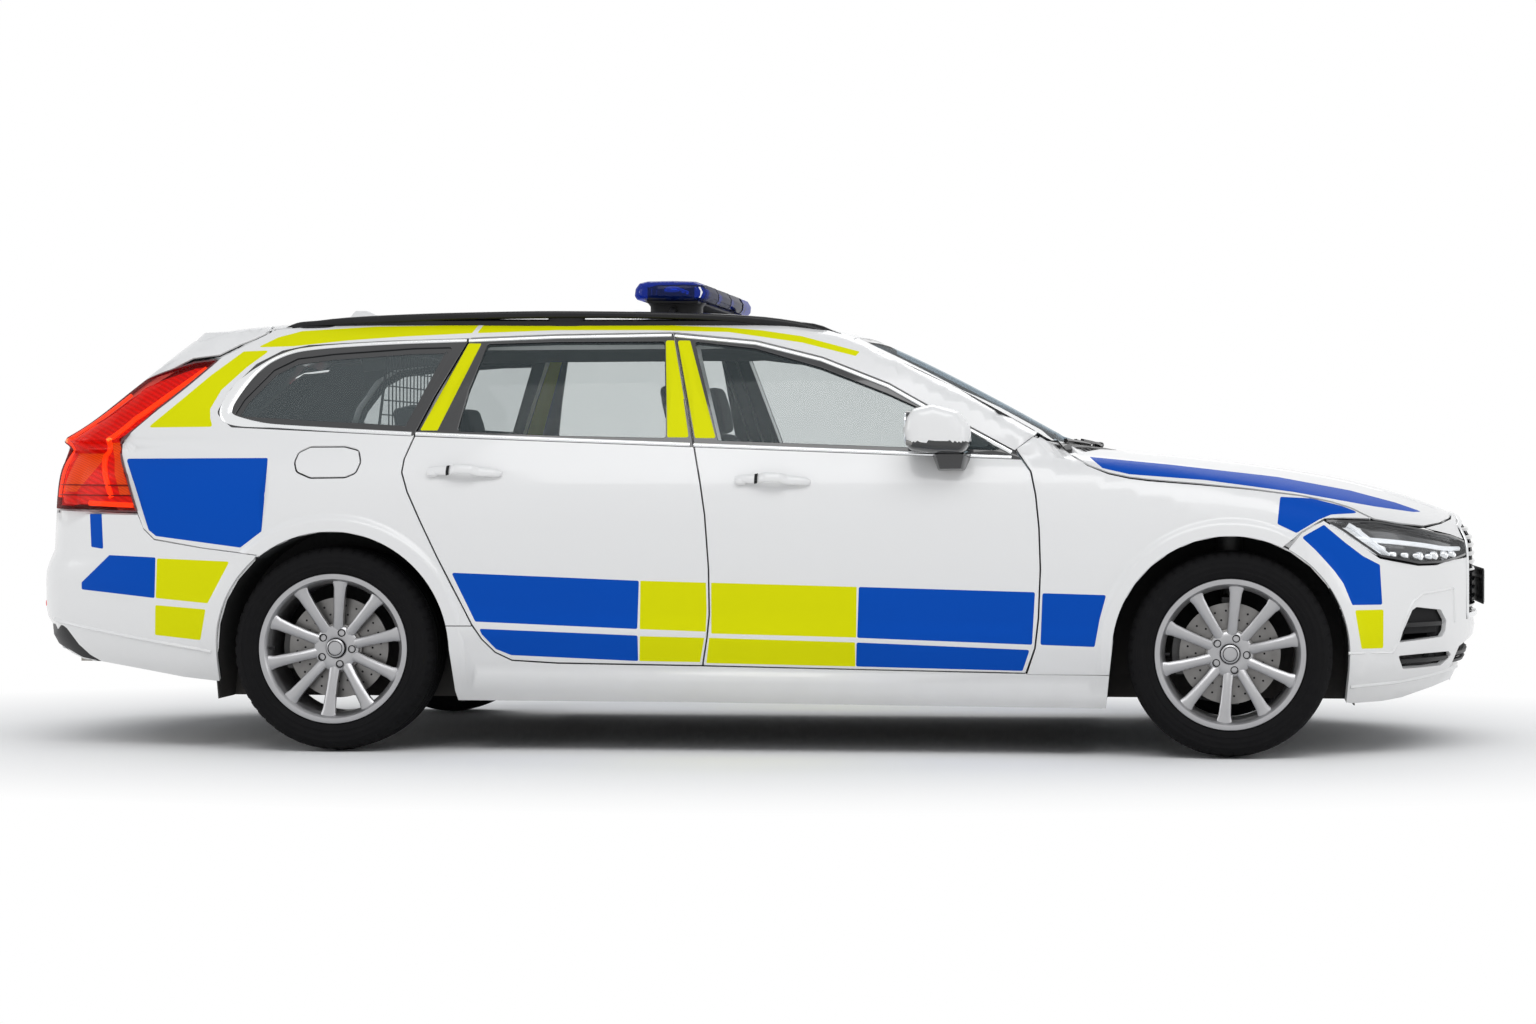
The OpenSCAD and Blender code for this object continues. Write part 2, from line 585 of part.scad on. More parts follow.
module exhaust() color("gray") {
    pts = [[X(1200), 60, 290], [X(980), 0, 240], [X(-860), 0, 240], [X(-1130), -160, 225],
        [X(-1560), -330, 225], [X(-1760), -500, 300]];
    for (i = [0 : len(pts) - 2]) hull() for (p = [pts[i], pts[i + 1]])
        translate(p) sphere(r = 30, $fn = 20);
    translate([X(-2280), -650, 275]) cube([X(-1740) - X(-2280), 260, 140]);
}

// Wheel: tyre, rim and brake disc with its hub, drawn along +Z from the tyre's middle.
hub_face = 42;
bead_r = rim_d / 2 - 17;
module place_wheel(x, side) translate([x, side * wheel_y, tyre_r]) rotate([side > 0 ? -90 : 90, 0, 0])
    children();
module tyre_shape() color("black") rotate_extrude() difference() {
    polygon([[bead_r, -tyre_w / 2 + 20], [rim_d / 2 + 2, -tyre_w / 2 + 19],
        [rim_d / 2 + 40, -tyre_w / 2], [tyre_r - 26, -tyre_w / 2 + 6], [tyre_r - 6, -tyre_w / 2 + 20],
        [tyre_r, -tyre_w / 2 + 44], [tyre_r, tyre_w / 2 - 44], [tyre_r - 6, tyre_w / 2 - 20],
        [tyre_r - 26, tyre_w / 2 - 6], [rim_d / 2 + 40, tyre_w / 2], [rim_d / 2 + 2, tyre_w / 2 - 19],
        [bead_r, tyre_w / 2 - 20], [bead_r, tyre_w / 2 - 42], [rim_d / 2 + 34, tyre_w / 2 - 16],
        [tyre_r - 16, tyre_w / 2 - 26], [tyre_r - 16, -tyre_w / 2 + 26],
        [rim_d / 2 + 34, -tyre_w / 2 + 16], [bead_r, -tyre_w / 2 + 42]]);
}
module rim_shape() color("silver") {
    rotate_extrude() polygon([[bead_r - 10, -tyre_w / 2 + 10], [rim_d / 2, -tyre_w / 2 + 10],
        [rim_d / 2, -tyre_w / 2 + 19], [bead_r, -tyre_w / 2 + 20], [bead_r, tyre_w / 2 - 20],
        [rim_d / 2, tyre_w / 2 - 19], [rim_d / 2, tyre_w / 2 - 10], [bead_r - 10, tyre_w / 2 - 10]]);
    difference() {
        translate([0, 0, hub_face]) linear_extrude(30) union() {
            circle(76);
            for (a = [0 : 36 : 324]) rotate(a) polygon([[40, -17], [bead_r - 8, -13],
                [bead_r - 8, 13], [40, 17]]);
        }
        for (a = [0 : 72 : 288]) rotate([0, 0, a + 18]) translate([bolt_circle / 2, 0, hub_face - 1])
            cylinder(d = bolt_hole_d, h = 40);
    }
}
module disc_shape() color("gray") translate([0, 0, -24]) difference() {
    union() {
        cylinder(r = disc_d / 2, h = disc_t);
        cylinder(r = 78, h = hub_face + 24);
    }
    translate([0, 0, -1]) cylinder(r = spindle_d / 2 + play, h = hub_face + 18);
}
king_y = wheel_y - kingpin_offset;
// Hub carrier with spindle and brake caliper, for the left side.
module carrier(x, steered) {
    y0 = wheel_y - 24 - 18 - 34;
    translate([x, 0, tyre_r]) {
        ypipe(0, y0, y0 + 34, 0, 60);
        ypipe(0, y0 + 30, wheel_y + hub_face - 10, 0, spindle_d / 2);
        difference() {
            union() {
                translate([-30, y0, -135]) cube([60, 34, 290]);
                if (steered) translate([0, king_y, -135]) cylinder(r = kingpin_d / 2 + 10, h = 50);
                if (steered) translate([0, king_y, 105]) cylinder(r = kingpin_d / 2 + 10, h = 50);
                if (steered) translate([-130, y0, -100]) cube([120, 20, 34]);
            }
            if (steered) translate([0, king_y, -136]) cylinder(r = kingpin_d / 2 + play, h = 46);
            if (steered) translate([0, king_y, 115]) cylinder(r = kingpin_d / 2 + play, h = 46);
        }
        difference() {
            intersection() {
                ypipe(0, y0 + 4, wheel_y + 16, 0, disc_d / 2 + 24);
                translate([-disc_d / 2 - 40, 0, -70]) cube([disc_d / 2 - 60, big, 140]);
            }
            ypipe(0, wheel_y - 24 - 5, wheel_y - 24 + disc_t + 5, 0, disc_d / 2 + 6);
        }
        translate([-110, y0, -30]) cube([80, 14, 60]);
    }
}
module knuckle(side) color("gray") scale([1, side, 1]) carrier(x_front, true);

module front_suspension() color("gray") {
    translate([x_front - 250, -Y(400), 165]) cube([420, 2 * Y(400), 45]);
    translate([x_front - 190, -Y(300), 210]) cube([60, 2 * Y(300), 50]);
    for (s = [-1, 1]) scale([1, s, 1]) {
        translate([x_front, 0, 165]) linear_extrude(22)
            polygon([[-170, Y(400) - 5], [-40, king_y - 90], [-28, king_y + 16], [28, king_y + 16],
                [40, king_y - 90], [120, Y(400) - 5]]);
        translate([x_front, king_y, 180]) cylinder(r = kingpin_d / 2, h = tyre_r - 92 - 180);
        translate([x_front, king_y, tyre_r + 117]) cylinder(r = kingpin_d / 2, h = 60);
        translate([x_front - 26, Y(490), tyre_r + 162]) cube([52, king_y - Y(490) + 22, 18]);
        translate([x_front, king_y - 150, 180]) cylinder(r = 24, h = Z(830) - 180);
        translate([x_front, king_y - 150, Z(560)]) cylinder(r = 44, h = Z(840) - Z(560));
    }
}
module rear_suspension() color("gray") {
    translate([x_rear - 180, -Y(420), 300]) cube([300, 2 * Y(420), 40]);
    for (s = [-1, 1]) scale([1, s, 1]) {
        carrier(x_rear, false);
        translate([x_rear - 80, Y(400), tyre_r - 30]) cube([160, wheel_y - 76 - Y(400) + 6, 24]);
        translate([x_rear + 10, Y(400), tyre_r + 100]) cube([40, wheel_y - 76 - Y(400) + 6, 20]);
        translate([x_rear - 40, Y(595), tyre_r - 10]) cylinder(r = 42, h = Z(606) - tyre_r + 10);
    }
}

// Doors: outer step, inner step set in from the edge, window cut out.
module door(outline, window, side) intersection() {
    half_space(side, Y(roof_edge) + shut);
    difference() {
        union() {
            difference() {
                intersection() { outer(); side_prism(outline, shut / 2); }
                core(door_lap, frame_lap);
            }
            difference() {
                intersection() { outer(); side_prism(outline, door_step); }
                core(side_depth, frame_depth);
            }
        }
        side_prism(window);
    }
}
module door_glass(window, side) intersection() {
    half_space(side);
    pane_layer(8);
    side_prism(window, glass_fit);
}
module mirror(side) color("black") scale([1, side, 1]) difference() {
    union() {
        hull() {
            for (p = [[565, 950], [700, 950], [560, 1020], [690, 1010]]) for (z = [1030, 1118])
                translate([X(p[0]), Y(p[1]), Z(z)]) sphere(r = 26, $fn = 20);
            translate([X(728), Y(960), Z(1040)]) sphere(r = 24, $fn = 20);
        }
        hull() {
            translate([X(650), Y(940), Z(1000)]) cube([70, 40, 20]);
            translate([X(640), Y(880), Z(944)]) cube([86, 50, 20]);
        }
    }
    outer();
}

// Tailgate with the spoiler, bonnet and fuel flap.
module tailgate_region() intersection() {
    side_prism(TAILGATE);
    middle(Y(tailgate_half));
}
module tailgate() color("white") difference() {
    intersection() { outer(); tailgate_region(); }
    loft(side_depth * 0.5, skin + 10, -80);
    rear_pane_prism(0);
}
module tailgate_glass() color("darkslategray") intersection() {
    pane_layer(2);
    rear_pane_prism(glass_fit);
    behind(X(-1700));
}
module bonnet() color("white") difference() {
    intersection() { outer(); bonnet_region(0); }
    skin_space();
}
module fuel_flap() color("white") intersection() {
    half_space(-1);
    difference() { outer(); loft(12, 12, -80); }
    side_prism(FLAP, shut / 2);
}

floor_pan();
color("white") body_side(1);  // body_side_left
color("white") body_side(-1);  // body_side_right
roof_panel();
front_fenders();
front_bumper();
grille();
rear_bumper();
headlamps();
tail_lamps();
windscreen();
quarter_glass();
roof_rails();
light_bar();
antenna_fin();
front_seats();
rear_bench();
dashboard();
cargo_guard();
engine_block();
exhaust();
front_suspension();
rear_suspension();
wheel_liners();
front_plate();
wipers();
cowl();
tow_sockets();
knuckle(1);  // knuckle_left
knuckle(-1);  // knuckle_right
place_wheel(x_front, 1) tyre_shape();  // tyre_front_left
place_wheel(x_front, -1) tyre_shape();  // tyre_front_right
place_wheel(x_rear, 1) tyre_shape();  // tyre_rear_left
place_wheel(x_rear, -1) tyre_shape();  // tyre_rear_right
place_wheel(x_front, 1) rim_shape();  // rim_front_left
place_wheel(x_front, -1) rim_shape();  // rim_front_right
place_wheel(x_rear, 1) rim_shape();  // rim_rear_left
place_wheel(x_rear, -1) rim_shape();  // rim_rear_right
place_wheel(x_front, 1) disc_shape();  // disc_front_left
place_wheel(x_front, -1) disc_shape();  // disc_front_right
place_wheel(x_rear, 1) disc_shape();  // disc_rear_left
place_wheel(x_rear, -1) disc_shape();  // disc_rear_right
steering_wheel();
color("white") door(FRONT_DOOR, FRONT_WINDOW, 1);  // front_door_left
color("white") door(FRONT_DOOR, FRONT_WINDOW, -1);  // front_door_right
color("darkslategray") door_glass(FRONT_WINDOW, 1);  // front_glass_left
color("darkslategray") door_glass(FRONT_WINDOW, -1);  // front_glass_right
mirror(1);  // mirror_left
mirror(-1);  // mirror_right
color("white") door(REAR_DOOR, REAR_WINDOW, 1);  // rear_door_left
color("white") door(REAR_DOOR, REAR_WINDOW, -1);  // rear_door_right
color("darkslategray") door_glass(REAR_WINDOW, 1);  // rear_glass_left
color("darkslategray") door_glass(REAR_WINDOW, -1);  // rear_glass_right
tailgate();
tailgate_glass();
rear_plate();
bonnet();
fuel_flap();
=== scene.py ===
"""A patrol estate car dressed over its CAD frame: skins, glass, lamps, wheels and cabin."""

import math

import bpy
import bmesh
import numpy as np
from bpy.props import FloatProperty, FloatVectorProperty, PointerProperty
from mathutils import Matrix, Vector
from mathutils.geometry import delaunay_2d_cdt


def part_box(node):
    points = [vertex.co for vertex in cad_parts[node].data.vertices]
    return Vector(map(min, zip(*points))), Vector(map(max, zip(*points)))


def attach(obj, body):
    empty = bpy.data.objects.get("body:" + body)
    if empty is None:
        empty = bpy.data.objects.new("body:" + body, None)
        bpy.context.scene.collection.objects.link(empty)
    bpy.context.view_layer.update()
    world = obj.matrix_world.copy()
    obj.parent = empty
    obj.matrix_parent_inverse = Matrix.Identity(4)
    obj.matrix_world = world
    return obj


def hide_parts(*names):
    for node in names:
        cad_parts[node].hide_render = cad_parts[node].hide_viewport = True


bl_info = {
    "name": "Patrol Estate Car",
    "version": (1, 0, 0),
    "blender": (4, 5, 0),
    "location": "View3D > Sidebar > Patrol Car",
    "description": "Builds the visible pieces of a patrol estate car over its CAD frame",
    "category": "Object",
}

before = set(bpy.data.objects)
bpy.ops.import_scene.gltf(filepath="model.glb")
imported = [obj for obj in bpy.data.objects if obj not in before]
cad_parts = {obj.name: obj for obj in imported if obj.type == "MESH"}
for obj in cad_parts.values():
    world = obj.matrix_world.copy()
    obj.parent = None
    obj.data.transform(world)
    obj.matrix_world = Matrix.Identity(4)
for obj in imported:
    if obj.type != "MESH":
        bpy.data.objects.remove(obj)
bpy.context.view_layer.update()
MM = 0.001


# ---------------------------------------------------------------- body surface

class Curve:
    """A smooth line through measured points that never overshoots them."""

    def __init__(self, points):
        ordered = np.array(sorted(points), float)
        self.x = ordered[:, 0]
        self.y = ordered[:, 1]
        step = np.diff(self.x)
        slope = np.diff(self.y) / step
        tangent = np.zeros(len(self.x))
        one_way = slope[1:] * slope[:-1] > 0
        before = (2 * step[1:] + step[:-1])[one_way]
        after = (step[1:] + 2 * step[:-1])[one_way]
        inner = np.zeros(len(slope) - 1)
        inner[one_way] = (before + after) / (
            before / slope[:-1][one_way] + after / slope[1:][one_way]
        )
        tangent[1:-1] = inner
        tangent[0] = slope[0]
        tangent[-1] = slope[-1]
        self.m = tangent

    def __call__(self, at):
        v = np.clip(at, self.x[0], self.x[-1])
        i = np.clip(np.searchsorted(self.x, v) - 1, 0, len(self.x) - 2)
        h = self.x[i + 1] - self.x[i]
        t = (v - self.x[i]) / h
        a = (1 + 2 * t) * (1 - t) ** 2 * self.y[i] + t * (1 - t) ** 2 * h * self.m[i]
        b = t * t * (3 - 2 * t) * self.y[i + 1] + t * t * (t - 1) * h * self.m[i + 1]
        return a + b


def smooth(v, a, b):
    """An eased step from 0 at a to 1 at b."""
    t = np.clip((v - a) / (b - a), 0, 1)
    return t * t * (3 - 2 * t)


SIDE = Curve([(100, 835), (150, 850), (200, 868), (285, 905), (400, 925), (560, 936), (650, 939),
    (760, 937), (850, 925), (930, 900), (960, 886), (1385, 655), (1420, 600), (1445, 470),
    (1457, 300), (1462, 0)])
NOSE = Curve([(100, 2290), (150, 2330), (200, 2380), (240, 2400), (300, 2440), (470, 2468),
    (600, 2468), (684, 2464), (756, 2432), (798, 2360), (827, 2289), (872, 2146), (907, 2002),
    (932, 1859), (953, 1716), (977, 1501), (1004, 1215), (1028, 1072), (1067, 1000),
    (1184, 785), (1294, 571), (1361, 427), (1390, 356), (1420, 200), (1440, 0), (1450, -250),
    (1457, -600)])
TAIL = Curve([(100, -2150), (150, -2200), (200, -2280), (294, -2400), (380, -2450), (470, -2468),
    (560, -2468), (615, -2455), (640, -2440), (900, -2428), (965, -2412), (1000, -2395),
    (1045, -2335), (1080, -2290), (1340, -2000), (1362, -1975), (1376, -1940), (1395, -1870),
    (1425, -1600), (1447, -1200), (1457, -600)])


def by_root(points):
    """A curve over the square root of a distance, for round ends."""
    return Curve([(math.sqrt(u), v) for u, v in points])


NOSE_LOW = by_root([(0, 0), (7, 0.16), (28, 0.32), (90, 0.53), (190, 0.745), (318, 0.885),
    (468, 0.955), (568, 0.975), (870, 1)])
NOSE_HIGH = by_root([(0, 0), (15, 0.55), (40, 0.82), (75, 0.96), (120, 1)])
TAIL_LOW = by_root([(0, 0), (7, 0.27), (28, 0.52), (88, 0.75), (168, 0.86), (318, 0.94),
    (518, 0.98), (900, 1)])
TAIL_HIGH = by_root([(0, 0), (15, 0.58), (40, 0.84), (80, 0.95), (140, 1)])
CABIN = Curve([(-2468, 0.9), (-1900, 0.93), (-1300, 0.985), (-700, 1), (2500, 1)])
SILL = Curve([(100, 0), (160, 8), (178, 20), (215, 30), (268, 17), (290, 0), (340, 3), (396, 10),
    (470, 0), (1500, 0)])
AXLES = (1596, -1345)
WHEEL_Z = 337.5
ARCH_R = 385
ARCH_FOOT = 140
ARCH_SPREAD = 20
FLARE_OUT = 13
FLARE_RADII = (420, 446)
GAP = 2.5
ROUND = 2.0
HANDLES = ((-916, 915), (100, 893))
DISH = (54, 43, 22)
SHOULDER_SLOPE = 0.0176


def relief(x, z):
    """How far the flares, the sill and the lower crease stand out of the plain side, and
    how far the dishes behind the door handles go in."""
    level = z + SHOULDER_SLOPE * (x + 605)
    out = SILL(level) * smooth(x, -1500, -1150) * (1 - smooth(x, 1200, 1500))
    for at_x, at_z in HANDLES:
        r = np.hypot((x - at_x) / DISH[0], (z - at_z) / DISH[1])
        out = out - DISH[2] * (1 - smooth(r, 0.45, 1.0))
    for axle in AXLES:
        r = np.hypot(x - axle, z - WHEEL_Z)
        flare = FLARE_OUT * (1 - smooth(r, *FLARE_RADII)) * smooth(z, 100, 420)
        out = np.maximum(out, flare)
    return out


def plain_half(x, z):
    """Half width of the body at a place in side view, before the pillar foot is filled."""
    t = smooth(z, 985, 1030)
    ahead = np.sqrt(np.maximum(NOSE(z) - x, 0))
    behind = np.sqrt(np.maximum(x - TAIL(z), 0))
    front = (1 - t) * NOSE_LOW(ahead) + t * NOSE_HIGH(ahead)
    rear = (1 - t) * TAIL_LOW(behind) + t * TAIL_HIGH(behind)
    taper = 1 - (1 - CABIN(x)) * smooth(z, 930, 1130)
    return SIDE(z) * front * rear * taper + relief(x, z)


FOOT_LOW = 978.0
FOOT_HIGH = 1038.0
FOOT_IN = (650, 900)
FOOT_OUT = (1010, 1080)


def half(x, z):
    """Half width of the body skin at a place in side view. Below the windscreen's corner
    the pillar's foot runs straight from the shoulder up to the glass."""
    x, z = np.broadcast_arrays(np.asarray(x, float), np.asarray(z, float))
    wide = np.array(plain_half(x, z), float)
    foot = (x > FOOT_IN[0]) & (z > FOOT_LOW) & (z < FOOT_HIGH)
    if foot.any():
        at = x[foot]
        low = plain_half(at, FOOT_LOW)
        high = plain_half(at, FOOT_HIGH)
        level = (z[foot] - FOOT_LOW) / (FOOT_HIGH - FOOT_LOW)
        more = np.maximum(low + (high - low) * level - wide[foot], 0)
        wide[foot] += more * smooth(at, *FOOT_IN) * (1 - smooth(at, *FOOT_OUT))
    return wide


def inside(p):
    """How far points lie in from the skin, measured across the car."""
    return half(p[:, 0], p[:, 2]) - np.abs(p[:, 1])


PROBE = 1.5


def gradient(p):
    """The direction in which points get further in, found by small steps."""
    g = np.zeros_like(p)
    for k in range(3):
        d = np.zeros(3)
        d[k] = PROBE
        g[:, k] = (inside(p + d) - inside(p - d)) / (2 * PROBE)
    return g


def skin_normal(p):
    """The skin's outward direction at points on or near it."""
    g = -gradient(p)
    return g / np.maximum(np.linalg.norm(g, axis=1), 1e-9)[:, None]


HALVINGS = 34
CORE_Z = 700.0


def shoot(origin, ray, reach=1500):
    """Where rays from inside the body leave its skin, by repeated halving."""
    low = np.zeros(len(origin))
    high = np.full(len(origin), float(reach))
    for _ in range(HALVINGS):
        mid = (low + high) / 2
        within = inside(origin + ray * mid[:, None]) > 0
        low = np.where(within, mid, low)
        high = np.where(within, high, mid)
    return origin + ray * low[:, None]


def from_side(ab):
    """Right side of the body over its side view."""
    return np.column_stack([ab[:, 0], -half(ab[:, 0], ab[:, 1]), ab[:, 1]])


def from_top(ab):
    """Upper side of the body over its plan."""
    origin = np.column_stack([ab[:, 0], ab[:, 1], np.full(len(ab), CORE_Z)])
    return shoot(origin, np.tile([0.0, 0.0, 1.0], (len(ab), 1)))


NOSE_X = 1850
TAIL_X = -1900


def from_nose(ab):
    """Front of the body, over a thousand times the angle about an upright axis, and height."""
    turn = ab[:, 0] / 1000
    origin = np.column_stack([np.full(len(ab), float(NOSE_X)), np.zeros(len(ab)), ab[:, 1]])
    return shoot(origin, np.column_stack([np.cos(turn), np.sin(turn), np.zeros(len(ab))]))


def from_tail(ab):
    """Rear of the body, over a thousand times the angle about an upright axis, and height."""
    turn = ab[:, 0] / 1000
    origin = np.column_stack([np.full(len(ab), float(TAIL_X)), np.zeros(len(ab)), ab[:, 1]])
    return shoot(origin, np.column_stack([-np.cos(turn), np.sin(turn), np.zeros(len(ab))]))


GATE_X = -1500
GATE_Z = 800


def from_gate(ab):
    """Tailgate, over distance across the car and a thousand times the angle above level."""
    turn = ab[:, 1] / 1000
    origin = np.column_stack([np.full(len(ab), float(GATE_X)), ab[:, 0],
        np.full(len(ab), float(GATE_Z))])
    return shoot(origin, np.column_stack([-np.cos(turn), np.zeros(len(ab)), np.sin(turn)]))


def gate_turn(x, z):
    """The tailgate's own measure up the car, of a place in side view."""
    return 1000 * math.atan2(z - GATE_Z, GATE_X - x)


def nose_turn(x, z):
    """The nose's own first measure of a place in side view."""
    return -1000 * math.atan2(float(half(x, z)), x - NOSE_X)


def tail_turn(x, z):
    """The rear's own first measure of a place in side view."""
    return -1000 * math.atan2(float(half(x, z)), TAIL_X - x)


# ---------------------------------------------------------------- outlines

def dense(points, step, closed=True):
    """The line with points added so that none are further apart than step."""
    p = np.array(points, float)
    q = np.roll(p, -1, axis=0) if closed else p[1:]
    out = []
    for a, b in zip(p, q):
        n = max(1, math.ceil(np.linalg.norm(b - a) / step))
        out.extend(a + (b - a) * k / n for k in range(n))
    if not closed:
        out.append(p[-1])
    return np.array(out)


def eased(points, radius, closed=True):
    """The outline with its corners rounded to about a radius."""
    p = np.array(points, float)
    out = [] if closed else [p[0]]
    for i in range(0 if closed else 1, len(p) if closed else len(p) - 1):
        a, b, c = p[i - 1], p[i], p[(i + 1) % len(p)]
        to_a = (a - b) / np.linalg.norm(a - b)
        to_c = (c - b) / np.linalg.norm(c - b)
        turn = math.acos(max(-1.0, min(1.0, float(to_a @ to_c))))
        cut = min(radius / max(math.tan(turn / 2), 0.05), 0.45 * np.linalg.norm(a - b),
            0.45 * np.linalg.norm(c - b))
        n = 2 if turn > 2.6 else 5
        for k in range(n + 1):
            t = k / n
            first = b + to_a * cut
            last = b + to_c * cut
            out.append((1 - t) ** 2 * first + 2 * t * (1 - t) * b + t * t * last)
    if not closed:
        out.append(p[-1])
    return np.array(out)


def chaikin(points, rounds=3):
    """The open line with its corners cut into curves."""
    p = np.array(points, float)
    for _ in range(rounds):
        near_first = 0.75 * p[:-1] + 0.25 * p[1:]
        near_last = 0.25 * p[:-1] + 0.75 * p[1:]
        p = np.vstack([p[:1], np.column_stack([near_first, near_last]).reshape(-1, 2), p[-1:]])
    return p


def area(points):
    """The outline's area, positive when it runs anticlockwise."""
    x, y = points[:, 0], points[:, 1]
    return 0.5 * float(np.sum(x * np.roll(y, -1) - np.roll(x, -1) * y))


def grown(points, by):
    """The closed outline moved outwards by a distance."""
    p = np.array(points, float)
    if area(p) < 0:
        p = p[::-1]
    before = p - np.roll(p, 1, axis=0)
    after = np.roll(p, -1, axis=0) - p
    before /= np.maximum(np.linalg.norm(before, axis=1), 1e-9)[:, None]
    after /= np.maximum(np.linalg.norm(after, axis=1), 1e-9)[:, None]
    n = np.column_stack([before[:, 1] + after[:, 1], -before[:, 0] - after[:, 0]])
    size = np.maximum(np.linalg.norm(n, axis=1), 1e-9)
    return p + n / size[:, None] * (by * np.minimum(2 / size, 1.6))[:, None]


def contains(polygon, points):
    """Which points lie in the outline."""
    x, y = points[:, 0], points[:, 1]
    hit = np.zeros(len(points), bool)
    for a, b in zip(polygon, np.roll(polygon, -1, axis=0)):
        if a[1] == b[1]:
            continue
        crosses = (a[1] > y) != (b[1] > y)
        hit ^= crosses & (x < (b[0] - a[0]) * (y - a[1]) / (b[1] - a[1]) + a[0])
    return hit


def near(polygon, points, reach):
    """Which points lie closer to the outline than reach."""
    close = np.zeros(len(points), bool)
    for a, b in zip(polygon, np.roll(polygon, -1, axis=0)):
        ab = b - a
        t = np.clip(((points - a) @ ab) / max(float(ab @ ab), 1e-9), 0, 1)
        close |= np.linalg.norm(points - a - t[:, None] * ab, axis=1) < reach
    return close


def ring(x, z, r, start=0, end=360, n=48):
    """Points on an arc, in degrees from ahead."""
    a = np.radians(np.linspace(start, end, n, endpoint=end - start < 360))
    return np.column_stack([x + r * np.cos(a), z + r * np.sin(a)])


# ---------------------------------------------------------------- meshes

class Sheet:
    """Points, faces, shading normals and a finish for each face, in millimetres."""

    def __init__(self, points, faces, normals, finish):
        self.points = np.array(points, float)
        self.faces = [tuple(int(i) for i in f) for f in faces]
        self.normals = normals
        self.finish = [finish] * len(self.faces) if isinstance(finish, int) else list(finish)

    def mirrored(self):
        flip = np.array([1, -1, 1])
        normals = self.normals * flip if isinstance(self.normals, np.ndarray) else self.normals
        return Sheet(self.points * flip, [f[::-1] for f in self.faces], normals, self.finish)

    def moved(self, by):
        return Sheet(self.points + np.array(by), self.faces, self.normals, self.finish)


def rounded_normals(sheet, own):
    """A normal for each corner of each face: the mean of the faces round that point which
    turn from this one by less than the sheet's angle."""
    least = math.cos(math.radians(sheet.normals))
    around = [[] for _ in sheet.points]
    for k, f in enumerate(sheet.faces):
        for i in f:
            around[i].append(k)
    out = []
    for k, f in enumerate(sheet.faces):
        for i in f:
            total = sum((own[j] for j in around[i] if own[j] @ own[k] > least), np.zeros(3))
            out.append(tuple(total / max(np.linalg.norm(total), 1e-9)))
    return out


def solid_object(name, sheets, mats, body, stands_for=()):
    """One mesh object made of sheets, riding on a body of the frame."""
    points = np.vstack([s.points for s in sheets])
    faces, finish, base = [], [], 0
    for s in sheets:
        faces.extend(tuple(i + base for i in f) for f in s.faces)
        finish.extend(s.finish)
        base += len(s.points)
    mesh = bpy.data.meshes.new(name)
    mesh.from_pydata((points * MM).tolist(), [], faces)
    for m in mats:
        mesh.materials.append(m)
    mesh.polygons.foreach_set("material_index", finish)
    mesh.polygons.foreach_set("use_smooth", [True] * len(faces))
    mesh.update()
    loops = []
    k = 0
    for s in sheets:
        own = [np.array(p.normal) for p in mesh.polygons[k:k + len(s.faces)]]
        k += len(s.faces)
        if s.normals is None:
            loops.extend(tuple(n) for n, f in zip(own, s.faces) for _ in f)
        elif isinstance(s.normals, float):
            loops.extend(rounded_normals(s, own))
        else:
            loops.extend(tuple(s.normals[i]) for f in s.faces for i in f)
    mesh.normals_split_custom_set(loops)
    obj = bpy.data.objects.new(name, mesh)
    bpy.context.scene.collection.objects.link(obj)
    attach(obj, body)
    if stands_for:
        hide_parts(*([stands_for] if isinstance(stands_for, str) else stands_for))


def trimmed(surface, outline, holes=(), zones=(), step=34, finish=0, spots=()):
    """The part of a surface within an outline and out of its holes, as triangles with
    a finish by zone. Spots are (x, z, radius) where the triangles are small."""
    outline = np.array(outline, float)
    loops = [outline, *[np.array(h, float) for h in holes], *[np.array(z[0], float) for z in zones]]
    low, high = outline.min(0), outline.max(0)
    across = np.arange(low[0] + step / 2, high[0], step)
    up = np.arange(low[1] + step / 2, high[1], step * 0.9)
    grid = np.array([(a + (step / 2 if k % 2 else 0), b) for k, b in enumerate(up) for a in across])
    for x, z, r in spots:
        fine = np.arange(-r, r + 1, r / 7)
        grid = grid[np.hypot(grid[:, 0] - x, grid[:, 1] - z) > r + 6]
        patch = np.array([(x + a, z + b) for a in fine for b in fine if a * a + b * b <= r * r])
        grid = np.vstack([grid, patch])
    if len(grid):
        grid = grid[contains(outline, grid)]
    for loop in loops:
        if len(grid):
            grid = grid[~near(loop, grid, step * 0.42)]
    verts, edges = [], []
    for loop in loops:
        base = len(verts)
        verts.extend(loop.tolist())
        edges.extend((base + k, base + (k + 1) % len(loop)) for k in range(len(loop)))
    verts.extend(grid.tolist())
    made = delaunay_2d_cdt([Vector(v) for v in verts], edges, [], 0, 0.02)
    flat = np.array([tuple(v) for v in made[0]])
    tris = np.array([tuple(f) for f in made[2]])
    middle = flat[tris].mean(axis=1)
    keep = contains(outline, middle)
    for h in holes:
        keep &= ~contains(np.array(h, float), middle)
    tris, middle = tris[keep], middle[keep]
    kinds = np.full(len(tris), finish)
    for polygon, kind in zones:
        kinds[contains(np.array(polygon, float), middle)] = kind
    used = np.unique(tris)
    index = np.full(len(flat), -1)
    index[used] = np.arange(len(used))
    tris = index[tris]
    points = surface(flat[used])
    normals = skin_normal(points)
    a, b, c = points[tris[:, 0]], points[tris[:, 1]], points[tris[:, 2]]
    facing = np.einsum("ij,ij->i", np.cross(b - a, c - a), normals[tris].mean(axis=1))
    tris[facing < 0] = tris[facing < 0][:, ::-1]
    return Sheet(points, tris, normals, kinds.tolist())


